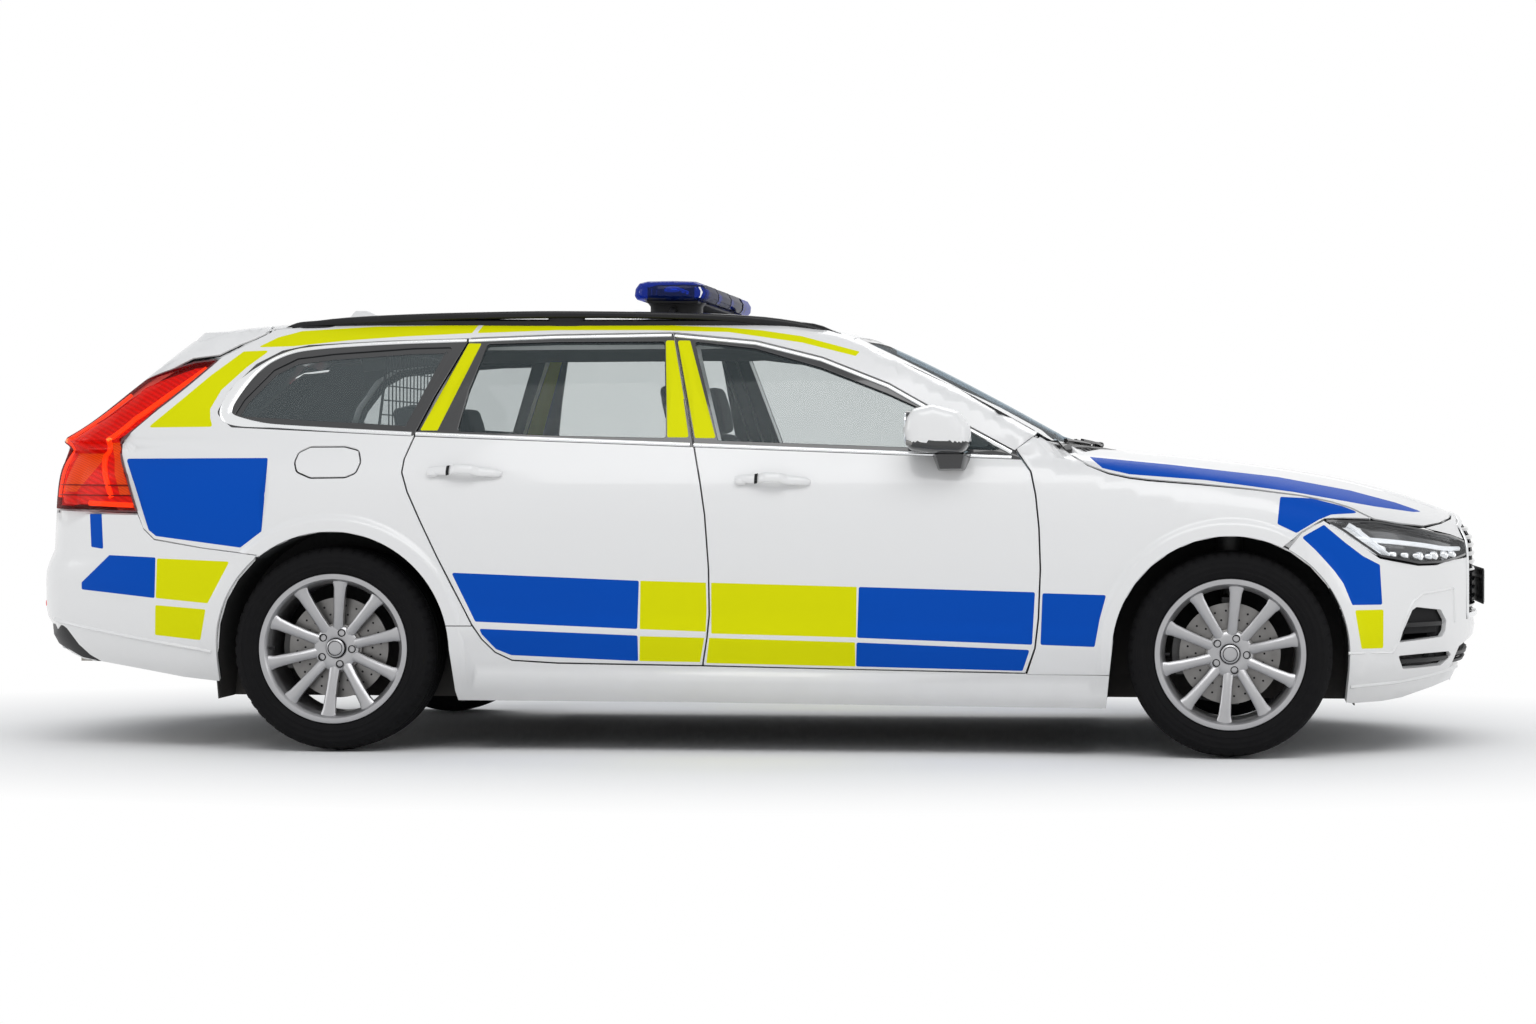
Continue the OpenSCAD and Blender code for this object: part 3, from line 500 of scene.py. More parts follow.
def rim_of(sheet):
    """The sheet's boundary edges, each in the direction its face runs, with that face's finish."""
    seen = {}
    for f, kind in zip(sheet.faces, sheet.finish):
        for i in range(len(f)):
            a, b = f[i], f[(i + 1) % len(f)]
            if (b, a) in seen:
                del seen[(b, a)]
            else:
                seen[(a, b)] = kind
    return seen


def hem(sheet, radius=2, depth=14, seal=None, seal_from=5):
    """A rounded edge and a return flange all round the sheet. The flange's deepest band, from
    seal_from on, takes the seal finish: a black band deep in the shut gap that is partly the rubber
    seal and partly painted shade of the gap.
    """
    edges = rim_of(sheet)
    out = np.zeros_like(sheet.points)
    for a, b in edges:
        along = sheet.points[b] - sheet.points[a]
        side = np.cross(along, (sheet.normals[a] + sheet.normals[b]) / 2)
        side /= max(np.linalg.norm(side), 1e-9)
        out[a] += side
        out[b] += side
    out /= np.maximum(np.linalg.norm(out, axis=1), 1e-9)[:, None]
    rim = sorted({i for e in edges for i in e})
    place = {v: k for k, v in enumerate(rim)}
    p, n, t = sheet.points[rim], sheet.normals[rim], out[rim]
    rings = [(0.0, 0.0, 0.0)]
    for angle in (30, 60, 90):
        a = math.radians(angle)
        rings.append((radius * math.sin(a), radius * (1 - math.cos(a)), a))
    rings.append((radius, radius + seal_from, math.pi / 2))
    rings.append((radius, radius + depth, math.pi / 2))
    points = np.vstack([p + t * o - n * d for o, d, _ in rings])
    normals = np.vstack([n * math.cos(a) + t * math.sin(a) for _, _, a in rings])
    size = len(rim)
    faces, finish = [], []
    for (a, b), kind in edges.items():
        for k in range(len(rings) - 1):
            i, j = place[a] + k * size, place[b] + k * size
            faces.append((j, i, i + size, j + size))
            # The deepest band is black: partly the rubber seal, partly painted shade in the gap.
            finish.append(seal if seal is not None and k == len(rings) - 2 else kind)
    return Sheet(points, faces, normals, finish)


PUSHES = 4
TOO_FAR = 80
ARCH_CLEAR = 6
LINED_ARCH = 400


def pushed_in(p, clear):
    """The points moved in until they lie that far under the skin. Points that would have
    to go too far are on another wall and stay."""
    for _ in range(PUSHES):
        g = gradient(p)
        size = np.maximum(np.linalg.norm(g, axis=1), 0.2)
        short = np.maximum(clear - inside(p) / size, 0)
        short = np.where(short > TOO_FAR, 0, short)
        p = p + g / size[:, None] * short[:, None]
    return p


def clear_of_arches(p):
    """The points moved out of the wheel openings below the wheels' middle."""
    for axle in AXLES:
        away = p[:, 0] - axle
        drop = (WHEEL_Z - p[:, 2]) / (WHEEL_Z - ARCH_FOOT)
        foot = ARCH_R + ARCH_CLEAR + ARCH_SPREAD * drop
        low = (p[:, 2] < WHEEL_Z) & (np.abs(away) > 200) & (np.abs(away) < foot)
        low &= np.abs(p[:, 1]) > 600
        p[low, 0] = axle + np.sign(away[low]) * foot[low]
    return p


def lining_of(node, clear, outer_finish, inner_finish):
    """A copy of a CAD piece, held in under the skin, as its frame and lining."""
    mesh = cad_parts[node].data
    p = np.array([tuple(v.co) for v in mesh.vertices], float) / MM
    p = clear_of_arches(pushed_in(p, clear))
    faces = [tuple(f.vertices) for f in mesh.polygons]
    finish = []
    for f in mesh.polygons:
        c = Vector(f.center) / MM
        outward = f.normal.y * (1 if c.y > 0 else -1) + max(f.normal.z, 0) * (c.z > 1000)
        arch = min(math.hypot(c.x - axle, c.z - WHEEL_Z) for axle in AXLES) < LINED_ARCH
        finish.append(outer_finish if outward > -0.2 and not arch else inner_finish)
    return Sheet(p, faces, None, finish)


# ---------------------------------------------------------------- shaders

class Sock:
    """A node's output that takes part in formulas."""

    def __init__(self, shader, socket):
        self.shader = shader
        self.socket = socket

    def maths(self, kind, *terms):
        return self.shader.node("Math", {"operation": kind}, dict(enumerate(terms)))

    def __add__(self, other):
        return self.maths("ADD", self, other)

    def __radd__(self, other):
        return self.maths("ADD", other, self)

    def __sub__(self, other):
        return self.maths("SUBTRACT", self, other)

    def __rsub__(self, other):
        return self.maths("SUBTRACT", other, self)

    def __mul__(self, other):
        return self.maths("MULTIPLY", self, other)

    def __rmul__(self, other):
        return self.maths("MULTIPLY", other, self)

    def __truediv__(self, other):
        return self.maths("DIVIDE", self, other)

    def __rtruediv__(self, other):
        return self.maths("DIVIDE", other, self)

    def __pow__(self, other):
        return self.maths("POWER", self, other)

    def above(self, other):
        return self.maths("GREATER_THAN", self, other)

    def sin(self):
        return self.maths("SINE", self)

    def absolute(self):
        return self.maths("ABSOLUTE", self)

    def most(self, other):
        return self.maths("MAXIMUM", self, other)

    def least(self, other):
        return self.maths("MINIMUM", self, other)

    def clamped(self):
        return self.most(0.0).least(1.0)


class Shader:
    """One material, written as formulas over its object's own coordinates."""

    def __init__(self, name, colour, rough, metal=0.0, **more):
        self.mat = bpy.data.materials.new(name)
        self.mat.use_nodes = True
        self.tree = self.mat.node_tree
        self.base = self.tree.nodes["Principled BSDF"]
        self.mat.diffuse_color = (*colour[:3], 1)
        self.put("Base Color", (*colour[:3], 1))
        self.put("Roughness", rough)
        self.put("Metallic", metal)
        for key, value in more.items():
            self.put(key.replace("_", " "), value)

    def put(self, name, value, node=None):
        socket = (node or self.base).inputs[name]
        if isinstance(value, Sock):
            self.tree.links.new(value.socket, socket)
        else:
            socket.default_value = value

    def node(self, kind, settings=None, inputs=None, out=0):
        made = self.tree.nodes.new("ShaderNode" + kind)
        for key, value in (settings or {}).items():
            setattr(made, key, value)
        for key, value in (inputs or {}).items():
            self.put(key, value, made)
        return Sock(self, made.outputs[out])

    def axes(self):
        """The three coordinates, in metres, in the row frame at rest."""
        at = self.node("TexCoord", out="Object")
        split = [self.node("SeparateXYZ", None, {0: at}, k) for k in range(3)]
        return at, *split

    def noise(self, scale, detail=2.0, at=None):
        spot = at if at is not None else self.node("TexCoord", out="Object")
        return self.node("TexNoise", None, {"Vector": spot, "Scale": scale, "Detail": detail})

    def mix(self, factor, a, b):
        return self.node("Mix", {"data_type": "RGBA"}, {0: factor, 6: a, 7: b}, 2)

    def bump(self, height, distance, strength=1.0):
        self.put("Normal", self.node("Bump", None,
            {"Height": height, "Distance": distance, "Strength": strength}))


def rgba(colour, gain=1.0):
    """The colour, brighter or darker, with full alpha."""
    return (*[min(1.0, c * gain) for c in colour[:3]], 1)


def colours():
    return bpy.context.scene.patrol_colours


def sizes():
    return bpy.context.scene.patrol_sizes


FINISHES = {}


def finish(name):
    """The finish of that name, made on first use."""
    if name not in FINISHES:
        FINISHES[name] = MAKERS[name](name)
    return FINISHES[name]


def dust_and_low_shade(shader, colour, dust, top=0.55, most=0.25):
    """Colour that turns towards a second colour near the ground, in a noise grain: road dust, and
    on the body paint also painted shade low on the sides.
    """
    _, _, _, z = shader.axes()
    low = ((top - z) / top).clamped()
    grain = shader.noise(9.0, 4.0)
    return shader.mix((low * low * grain * (2 * most)).clamped(), rgba(colour), rgba(dust))


def paint(name):
    colour = colours().body
    s = Shader(name, colour, 0.3, Coat_Weight=0.5, Coat_Roughness=0.06)
    # Darker grey-brown low on the body: partly road dust, partly painted shade of the lower sill.
    s.put("Base Color", dust_and_low_shade(s, colour, (0.42, 0.40, 0.37), 0.45, 0.3))
    s.put("Roughness", 0.26 + s.noise(3.0, 3.0) * 0.1)
    s.bump(s.noise(420.0, 1.0), 0.00012, 0.5)
    return s.mat


FILM_CELLS = 520.0


def film(name, colour):
    """Reflective film with a fine lattice of cells."""
    s = Shader(name, colour, 0.4, Specular_IOR_Level=0.08)
    _, x, y, z = s.axes()
    a = ((x + z + y) * FILM_CELLS).sin().absolute()
    b = ((x - z - y) * FILM_CELLS).sin().absolute()
    cell = a.least(b)
    wave = s.noise(2.2, 3.0)
    lit = s.mix(cell * 0.5, rgba(colour, 0.86), rgba(colour, 1.1))
    s.put("Base Color", s.mix(wave * 0.35, lit, rgba(colour, 0.78)))
    s.put("Roughness", 0.42 + cell * 0.16)
    s.bump(cell, 0.0002, 0.35)
    return s.mat


def blue_film(name):
    return film(name, colours().blue)


def yellow_film(name):
    return film(name, colours().yellow)


def worn_black(name, colour, rough, scale, depth, spread=0.14):
    """Moulded or coated black material with a fine grain."""
    s = Shader(name, colour, rough, Specular_IOR_Level=0.25)
    grain = s.noise(scale, 2.0)
    s.put("Roughness", rough - spread / 2 + s.noise(7.0, 3.0) * spread)
    s.put("Base Color", s.mix(s.noise(14.0, 4.0), rgba(colour, 0.8), rgba(colour, 1.35)))
    s.bump(grain, depth, 0.6)
    return s.mat


def gloss_black(name):
    s = Shader(name, (0.012, 0.013, 0.015), 0.1, Coat_Weight=0.6)
    s.put("Roughness", 0.07 + s.noise(5.0, 3.0) * 0.09)
    s.bump(s.noise(150.0, 1.0), 0.0001, 0.4)
    return s.mat


def seal(name):
    return worn_black(name, (0.010, 0.010, 0.011), 0.8, 300.0, 0.0003)


def black_plastic(name):
    return worn_black(name, (0.016, 0.016, 0.017), 0.46, 700.0, 0.0003)


def rail_black(name):
    return worn_black(name, (0.010, 0.010, 0.011), 0.26, 500.0, 0.0001)


def lining(name):
    return worn_black(name, (0.035, 0.036, 0.038), 0.72, 420.0, 0.0005)


def pale_lining(name):
    return worn_black(name, (0.11, 0.11, 0.108), 0.85, 500.0, 0.0005)


def underbody(name):
    s = Shader(name, (0.02, 0.02, 0.021), 0.8)
    s.put("Base Color", dust_and_low_shade(s, (0.02, 0.02, 0.021), (0.12, 0.105, 0.09), 0.6, 0.5))
    s.bump(s.noise(160.0, 3.0), 0.001, 0.7)
    return s.mat


def bright_trim(name):
    s = Shader(name, (0.78, 0.79, 0.8), 0.16, 1.0)
    s.put("Roughness", 0.12 + s.noise(30.0, 3.0) * 0.12)
    s.bump(s.noise(260.0, 2.0), 0.00006, 0.5)
    return s.mat


def alloy(name):
    s = Shader(name, (0.40, 0.40, 0.41), 0.28, 0.9, Coat_Weight=0.1)
    s.put("Base Color", s.mix(s.noise(18.0, 4.0) * 0.5, rgba((0.43, 0.43, 0.44)),
        rgba((0.28, 0.28, 0.29))))
    s.put("Roughness", 0.24 + s.noise(40.0, 3.0) * 0.14)
    s.bump(s.noise(600.0, 1.0), 0.0001, 0.4)
    return s.mat


def metal(name, colour, rough, scale):
    s = Shader(name, colour, rough, 0.9)
    patch = s.noise(scale, 5.0)
    s.put("Base Color", s.mix(patch, rgba(colour, 0.6), rgba(colour, 1.25)))
    s.put("Roughness", rough - 0.1 + patch * 0.3)
    s.bump(s.noise(scale * 9, 3.0), 0.0006, 0.6)
    return s.mat


def cast_metal(name):
    return metal(name, (0.13, 0.13, 0.13), 0.55, 24.0)


def disc_iron(name):
    s = Shader(name, (0.22, 0.215, 0.21), 0.4, 0.8)
    rings = s.node("TexWave", {"wave_type": "RINGS", "rings_direction": "Y"},
        {"Scale": 60.0, "Distortion": 0.6})
    s.put("Roughness", 0.26 + s.noise(50.0, 2.0) * 0.2)
    s.put("Base Color", s.mix(s.noise(20.0, 4.0), rgba((0.15, 0.145, 0.14)),
        rgba((0.28, 0.275, 0.27))))
    s.bump(rings, 0.0001, 0.3)
    return s.mat


def exhaust_steel(name):
    return metal(name, (0.36, 0.34, 0.31), 0.38, 30.0)


def guard_wire(name):
    return worn_black(name, (0.02, 0.02, 0.021), 0.5, 900.0, 0.0002)


def tyre_rubber(name):
    s = Shader(name, (0.009, 0.009, 0.010), 0.84, Specular_IOR_Level=0.09)
    dust = (s.noise(30.0, 5.0) * 0.5).clamped()
    s.put("Base Color", s.mix(dust, rgba((0.006, 0.006, 0.007)), rgba((0.016, 0.0155, 0.015))))
    s.put("Roughness", 0.74 + s.noise(60.0, 3.0) * 0.16)
    s.bump(s.noise(500.0, 3.0), 0.0004, 0.6)
    return s.mat


def fabric(name):
    s = Shader(name, (0.04, 0.041, 0.045), 0.9, Sheen_Weight=0.3)
    _, x, y, z = s.axes()
    weave = ((x + y) * 1900.0).sin() * ((z + y * 0.4 - x) * 1900.0).sin()
    s.put("Base Color", s.mix((weave * 0.5 + 0.5) * 0.6 + s.noise(12.0, 4.0) * 0.4,
        rgba((0.028, 0.029, 0.032)), rgba((0.062, 0.064, 0.07))))
    s.bump(weave, 0.0005, 0.7)
    return s.mat


def see_through(name, tint, share, rough=0.02, under=(0.02, 0.022, 0.022)):
    """Thin glazing: tinted light straight through, and a share of plain reflection."""
    s = Shader(name, under, rough)
    s.put("Roughness", rough + s.noise(6.0, 3.0) * 0.03)
    s.bump(s.noise(5.0, 2.0), 0.0004, 0.3)
    clear = s.node("BsdfTransparent", None, {"Color": rgba(tint)})
    shine = Sock(s, s.base.outputs[0])
    haze = share + s.noise(3.0, 3.0) * 0.03
    both = s.node("MixShader", None, {0: haze, 1: clear, 2: shine})
    out = s.tree.nodes["Material Output"]
    s.put("Surface", both, out)
    s.mat.diffuse_color = (*tint, 0.4)
    return s.mat


def glass(name):
    return see_through(name, colours().glass, 0.13, 0.02, (0.13, 0.16, 0.17))


def tinted_glass(name):
    return see_through(name, (0.95, 0.97, 0.97), 0.20, 0.02, (0.19, 0.22, 0.23))


def screen_glass(name):
    return see_through(name, (0.66, 0.72, 0.76), 0.12, 0.02, (0.05, 0.06, 0.07))


def clear_lens(name):
    return see_through(name, (0.93, 0.94, 0.95), 0.1, 0.03, (0.5, 0.5, 0.5))


def lens(name, colour, glow, ribs):
    """Coloured lamp lens with moulded ribs inside."""
    s = Shader(name, colour, 0.09, Coat_Weight=0.7, Transmission_Weight=0.25, IOR=1.45)
    _, x, y, z = s.axes()
    rib = ((x * 0.6 + z + y * 0.3) * ribs).sin() * 0.5 + 0.5
    s.put("Base Color", s.mix(rib * 0.6 + s.noise(30.0, 3.0) * 0.4, rgba(colour, 0.45),
        rgba(colour, 1.3)))
    s.put("Roughness", 0.07 + s.noise(25.0, 2.0) * 0.07)
    s.put("Emission Color", rgba(colour))
    s.put("Emission Strength", glow)
    s.bump(rib, 0.0006, 0.3)
    return s.mat


def clear_cap(name):
    """The plain cover of a side indicator that isn't lit."""
    return lens(name, (0.30, 0.29, 0.28), 0.0, 90.0)


def red_lens(name):
    return lens(name, (0.85, 0.016, 0.010), 0.30, 330.0)


def amber_lens(name):
    return lens(name, (1.0, 0.33, 0.03), 0.35, 700.0)


def blue_lens(name):
    return lens(name, (0.004, 0.028, 0.32), 0.1, 240.0)


def red_cover(name):
    return see_through(name, (0.95, 0.34, 0.30), 0.10, 0.03, (0.5, 0.01, 0.01))


def blue_cover(name):
    return see_through(name, (0.05, 0.16, 0.62), 0.3, 0.04, (0.003, 0.02, 0.16))


def dark_red(name):
    return lens(name, (0.12, 0.002, 0.010), 0.02, 420.0)


def glowing(name, colour, strength):
    """A moulded light guide that gives a little light of its own."""
    s = Shader(name, colour, 0.2)
    s.put("Base Color", s.mix(s.noise(60.0, 2.0), rgba(colour, 0.85), rgba(colour, 1.1)))
    s.put("Roughness", 0.15 + s.noise(40.0, 2.0) * 0.1)
    s.put("Emission Color", rgba(colour))
    s.put("Emission Strength", strength)
    s.bump(s.noise(300.0, 1.0), 0.0002, 0.4)
    return s.mat


def red_glow(name):
    return glowing(name, (1.0, 0.16, 0.02), 0.75)


def light_guide(name):
    return glowing(name, (0.9, 0.92, 0.95), 0.35)


def reflector(name):
    s = Shader(name, (0.86, 0.87, 0.88), 0.12, 1.0)
    s.put("Roughness", 0.08 + s.noise(60.0, 2.0) * 0.14)
    s.bump(s.noise(90.0, 1.0), 0.0005, 0.5)
    return s.mat


def mirror_face(name):
    s = Shader(name, (0.7, 0.73, 0.76), 0.03, 1.0)
    s.put("Roughness", 0.02 + s.noise(12.0, 3.0) * 0.05)
    return s.mat


def plate_face(name):
    s = Shader(name, (0.78, 0.78, 0.76), 0.35)
    s.put("Base Color", s.mix(s.noise(20.0, 4.0) * 0.5, rgba((0.80, 0.80, 0.78)),
        rgba((0.66, 0.66, 0.64))))
    s.bump(s.noise(900.0, 1.0), 0.0002, 0.5)
    return s.mat


def pale_grey(name):
    return worn_black(name, (0.20, 0.205, 0.21), 0.5, 300.0, 0.0002)


MAKERS = {f.__name__: f for f in (paint, blue_film, yellow_film, gloss_black, seal,
    black_plastic, rail_black, lining, pale_lining, underbody, bright_trim, alloy, cast_metal,
    disc_iron, exhaust_steel, guard_wire, tyre_rubber, fabric, glass, tinted_glass, clear_lens,
    screen_glass, red_lens, amber_lens, blue_lens, reflector, mirror_face, plate_face, pale_grey,
    red_cover, blue_cover, dark_red, red_glow, light_guide, clear_cap)}
PAINT, BLUE, YELLOW, GLOSS, SEAL, LINING, TRIM, MATT, PALE, RED = range(10)


def panel_finishes():
    """The finishes of a painted panel, in the order of the numbers above."""
    names = ("paint", "blue_film", "yellow_film", "gloss_black", "seal", "lining",
        "bright_trim", "black_plastic", "pale_lining", "red_lens")
    return [finish(n) for n in names]


# ---------------------------------------------------------------- shut lines in side view

FRONT_EDGE = [(932, 270), (962, 353), (973, 451), (979, 614), (974, 745), (962, 853),
    (945, 929), (899, 990), (749, 1070), (637, 1124), (467, 1218), (240, 1306), (14, 1362),
    (-266, 1389)]
POST_LINE = [(-168, 1021), (-137, 891), (-118, 783), (-104, 609), (-102, 457), (-109, 380),
    (-127, 288)]
REAR_EDGE = [(-657, 1381), (-951, 1368), (-1040, 1171), (-1094, 1044), (-1121, 962),
    (-1124, 918), (-1101, 854), (-1054, 756), (-999, 643), (-946, 540), (-883, 420),
    (-851, 371), (-809, 328), (-755, 302), (-605, 294)]
FRONT_DOOR = eased(FRONT_EDGE + POST_LINE, 9)
REAR_DOOR = eased(POST_LINE[::-1] + FRONT_EDGE[-1:] + REAR_EDGE, 9)
BOTH_DOORS = eased(FRONT_EDGE + REAR_EDGE + POST_LINE[-1:], 9)
FRONT_PANE = eased([(861, 996), (638, 1108), (469, 1184), (242, 1272), (16, 1337), (-194, 1361),
    (-88, 1025), (40, 1021), (478, 1007)], 10)
REAR_PANE = eased([(-292, 1361), (-655, 1358), (-890, 1350), (-932, 1190), (-957, 1052),
    (-619, 1039), (-257, 1033)], 12)
QUARTER_PANE = eased([(-1118, 1052), (-1000, 1340), (-1139, 1336), (-1406, 1316), (-1530, 1300),
    (-1606, 1260), (-1694, 1158), (-1722, 1104), (-1700, 1084), (-1456, 1070)], 14)
FUEL_FLAP = eased([(-1484, 950), (-1476, 982), (-1439, 1001), (-1324, 1002), (-1276, 990),
    (-1264, 951), (-1276, 915), (-1310, 900), (-1426, 898), (-1474, 918)], 22)


def arch_spread(z):
    """How far from the wheel's middle an arch edge stands at a height below it."""
    return ARCH_R + ROUND + ARCH_SPREAD * max(WHEEL_Z - z, 0) / (WHEEL_Z - ARCH_FOOT)


def arch_hole(x):
    """The wheel opening in side view: round above the wheel's middle, open below."""
    arc = [tuple(p) for p in ring(x, WHEEL_Z, ARCH_R + ROUND, 0, 180, 44)]
    foot = arch_spread(ARCH_FOOT)
    return np.array([*arc, (x - foot, ARCH_FOOT), (x - foot, 60), (x + foot, 60),
        (x + foot, ARCH_FOOT)])


def flare_zones(x):
    """Lines round a wheel opening, where the skin has close points for its flare."""
    zones = []
    for r in (448, 440, 432, 424, 417):
        arc = [tuple(p) for p in ring(x, WHEEL_Z, r, 0, 180, 50)]
        zones.append((np.array([*arc, (x - r, 200), (x + r, 200)]), PAINT))
    return zones


def kept_in(outline):
    """The edge of a panel whose shut line is the outline."""
    return grown(outline, -GAP - ROUND)


def kept_out(outline):
    """The edge of the hole round a panel whose shut line is the outline."""
    return grown(outline, GAP + ROUND)


def side_skin(outline, holes=(), zones=(), spots=(), step=34, finish=PAINT, edge=ROUND,
        surface=from_side):
    """A panel of the right side, with its rounded edges."""
    sheet = trimmed(surface, outline, holes, zones, step, finish, spots)
    # The hem's deep black band is partly rubber seal, partly painted shade in the shut gap.
    return [sheet, hem(sheet, edge, 15, SEAL, 5)]


def both_sides(sheets):
    return [*sheets, *[s.mirrored() for s in sheets]]


def on_side(sheets, left):
    """Sheets made for the right side, turned over when they are for the left."""
    return [s.mirrored() for s in sheets] if left else sheets


def swept(path, profile, finish, surface=from_side, widths=None, lift=None, angle=50.0):
    """A bar laid along a path on a surface. The profile is (across, out) points in
    millimetres; widths scales it across at each point of the path and lift raises it."""
    path = np.array(path, float)
    p = surface(path)
    n = skin_normal(p)
    along = np.gradient(p, axis=0)
    along /= np.linalg.norm(along, axis=1)[:, None]
    across = np.cross(along, n)
    n = np.cross(across, along)
    n /= np.linalg.norm(n, axis=1)[:, None]
    across /= np.linalg.norm(across, axis=1)[:, None]
    wide = np.ones(len(p)) if widths is None else np.array(widths, float)
    high = np.zeros(len(p)) if lift is None else np.array(lift, float)
    m = len(profile)
    points = []
    for k in range(len(p)):
        for a, b in profile:
            points.append(p[k] + across[k] * a * wide[k] + n[k] * (b + high[k]))
    faces = []
    for k in range(len(p) - 1):
        for j in range(m):
            a, b = k * m + j, k * m + (j + 1) % m
            faces.append((a, b, b + m, a + m))
    faces.append(tuple(range(m))[::-1])
    faces.append(tuple((len(p) - 1) * m + j for j in range(m)))
    return Sheet(points, faces, angle, finish)


STRIP = [(-7, -3), (-7, 2.5), (-5, 5), (0, 6), (5, 5), (7, 2.5), (7, -3)]


def trim_strip(path, widths=None, finish=TRIM):
    line = dense(path, 24, closed=False)
    if widths is not None:
        p = np.array(path, float)
        run = np.concatenate([[0], np.cumsum(np.linalg.norm(np.diff(p, axis=0), axis=1))])
        mine = np.concatenate([[0], np.cumsum(np.linalg.norm(np.diff(line, axis=0), axis=1))])
        widths = np.interp(mine, run, widths)
    return swept(line, STRIP, finish, widths=widths)


def blob(centre, size, finish, power=2.6, n=24, rings=14, turn=0.0):
    """A rounded box, as a closed surface."""
    points, faces = [], []

    def bent(value):
        return math.copysign(abs(value) ** (2 / power), value)

    for i in range(rings + 1):
        v = math.pi * (i / rings - 0.5)
        for j in range(n):
            u = 2 * math.pi * j / n
            points.append((
                size[0] / 2 * bent(math.cos(v)) * bent(math.cos(u)),
                size[1] / 2 * bent(math.cos(v)) * bent(math.sin(u)),
                size[2] / 2 * bent(math.sin(v)),
            ))
    for i in range(rings):
        for j in range(n):
            a, b = i * n + j, i * n + (j + 1) % n
            faces.append((a, b, b + n, a + n))
    c, s = math.cos(turn), math.sin(turn)
    p = np.array(points)
    p = np.column_stack([p[:, 0] * c - p[:, 1] * s, p[:, 0] * s + p[:, 1] * c, p[:, 2]])
    return Sheet(p + np.array(centre), faces, 60.0, finish)


def box_sheet(low, high, finish, round_by=3.0):
    """A box with bevelled edges."""
    bm = bmesh.new()
    bmesh.ops.create_cube(bm, size=1.0)
    low, high = np.array(low, float), np.array(high, float)
    for v in bm.verts:
        v.co = Vector(tuple((low + high) / 2 + np.array(v.co) * (high - low)))
    bmesh.ops.bevel(bm, geom=bm.edges[:], offset=round_by, segments=2, profile=0.5,
        affect="EDGES")
    sheet = from_bmesh(bm, finish)
    bm.free()
    return sheet


def from_bmesh(bm, finish, angle=35.0):
    bm.verts.index_update()
    return Sheet([tuple(v.co) for v in bm.verts],
        [tuple(v.index for v in f.verts) for f in bm.faces], angle, finish)


PANE_STEP = 45


def slab(sheet, sink, thick, rim_finish):
    """A closed pane from a sheet: its two faces under the skin, and the rim between them."""
    front = sheet.points - sheet.normals * sink
    back = sheet.points - sheet.normals * (sink + thick)
    points = np.vstack([front, back])
    n = len(front)
    faces = list(sheet.faces) + [tuple(i + n for i in f[::-1]) for f in sheet.faces]
    skin = Sheet(points, faces, np.vstack([sheet.normals, -sheet.normals]), sheet.finish * 2)
    rim = [(b, a, a + n, b + n) for a, b in rim_of(sheet)]
    return [skin, Sheet(points, rim, None, rim_finish)]


# ---------------------------------------------------------------- sides of the body

BELT = [(-1110, 1036), (-617, 1019), (479, 981), (940, 966)]
FRAME_ZONE = (BELT + [(940, 1500), (-1110, 1500)], GLOSS)


def patch(points, kind, radius=7):
    """A piece of film with rounded corners."""
    return (eased(points, radius), kind)


REAR_DOOR_FILM = [
    patch([(-950, 590), (-332, 567), (-337, 409), (-871, 430)], BLUE),
    patch([(-858, 407), (-849, 388), (-806, 340), (-756, 320), (-338, 303), (-336, 388)], BLUE),
    patch([(-327, 567), (-112, 562), (-110, 480), (-112, 402), (-329, 409)], YELLOW, 3),
    patch([(-329, 386), (-117, 382), (-134, 301), (-334, 303)], YELLOW, 3),
    patch([(-290, 1362), (-252, 1362), (-184, 1036), (-255, 1036)], YELLOW),
    patch([(-954, 1350), (-910, 1350), (-1021, 1056), (-1079, 1056)], YELLOW, 4),
]
FRONT_DOOR_FILM = [
    patch([(-95, 562), (381, 551), (380, 386), (-94, 396)], YELLOW, 3),
    patch([(-101, 382), (376, 370), (375, 290), (-114, 298)], YELLOW, 3),
    patch([(388, 551), (962, 537), (953, 366), (383, 385)], BLUE),
    patch([(381, 370), (945, 349), (921, 279), (377, 290)], BLUE),
    patch([(-250, 1362), (-208, 1362), (-94, 1034), (-163, 1034)], YELLOW),
]
FENDER_FILM = [
    patch([(986, 534), (1193, 529), (1172, 450), (1156, 360), (980, 366)], BLUE),
    patch([(1756, 850), (1861, 845), (1960, 820), (2018, 798), (1922, 793), (1880, 776),
        (1808, 733), (1746, 762)], BLUE),
]
QUARTER_FRAME = eased([(-1783, 1112), (-1744, 1193), (-1669, 1279), (-1587, 1325), (-1499, 1344),
    (-1232, 1359), (-991, 1367), (-940, 1369), (-1040, 1171), (-1098, 1036), (-1454, 1052),
    (-1722, 1064)], 20)
SIDE_FILM = [
    (QUARTER_FRAME, GLOSS),
    patch([(-1722, 1322), (-1630, 1326), (-1700, 1268), (-1776, 1190), (-1806, 1126),
        (-1800, 1094), (-1786, 1066), (-2008, 1063), (-1900, 1165), (-1820, 1240)], YELLOW),
    patch([(-2062, 959), (-1575, 963), (-1579, 722), (-1650, 668), (-1936, 704), (-1962, 724)],
        BLUE),
    patch([(-1677, 1336), (-1613, 1371), (-1535, 1393), (-1286, 1409), (-936, 1416),
        (-950, 1386), (-1179, 1374), (-1367, 1360), (-1552, 1340)], YELLOW, 4),
    patch([(-920, 1417), (-679, 1419), (-300, 1416), (-90, 1408), (30, 1398), (166, 1378),
        (365, 1325), (352, 1310), (168, 1356), (-84, 1392), (-350, 1398), (-663, 1397),
        (-932, 1386)], YELLOW, 4),
]
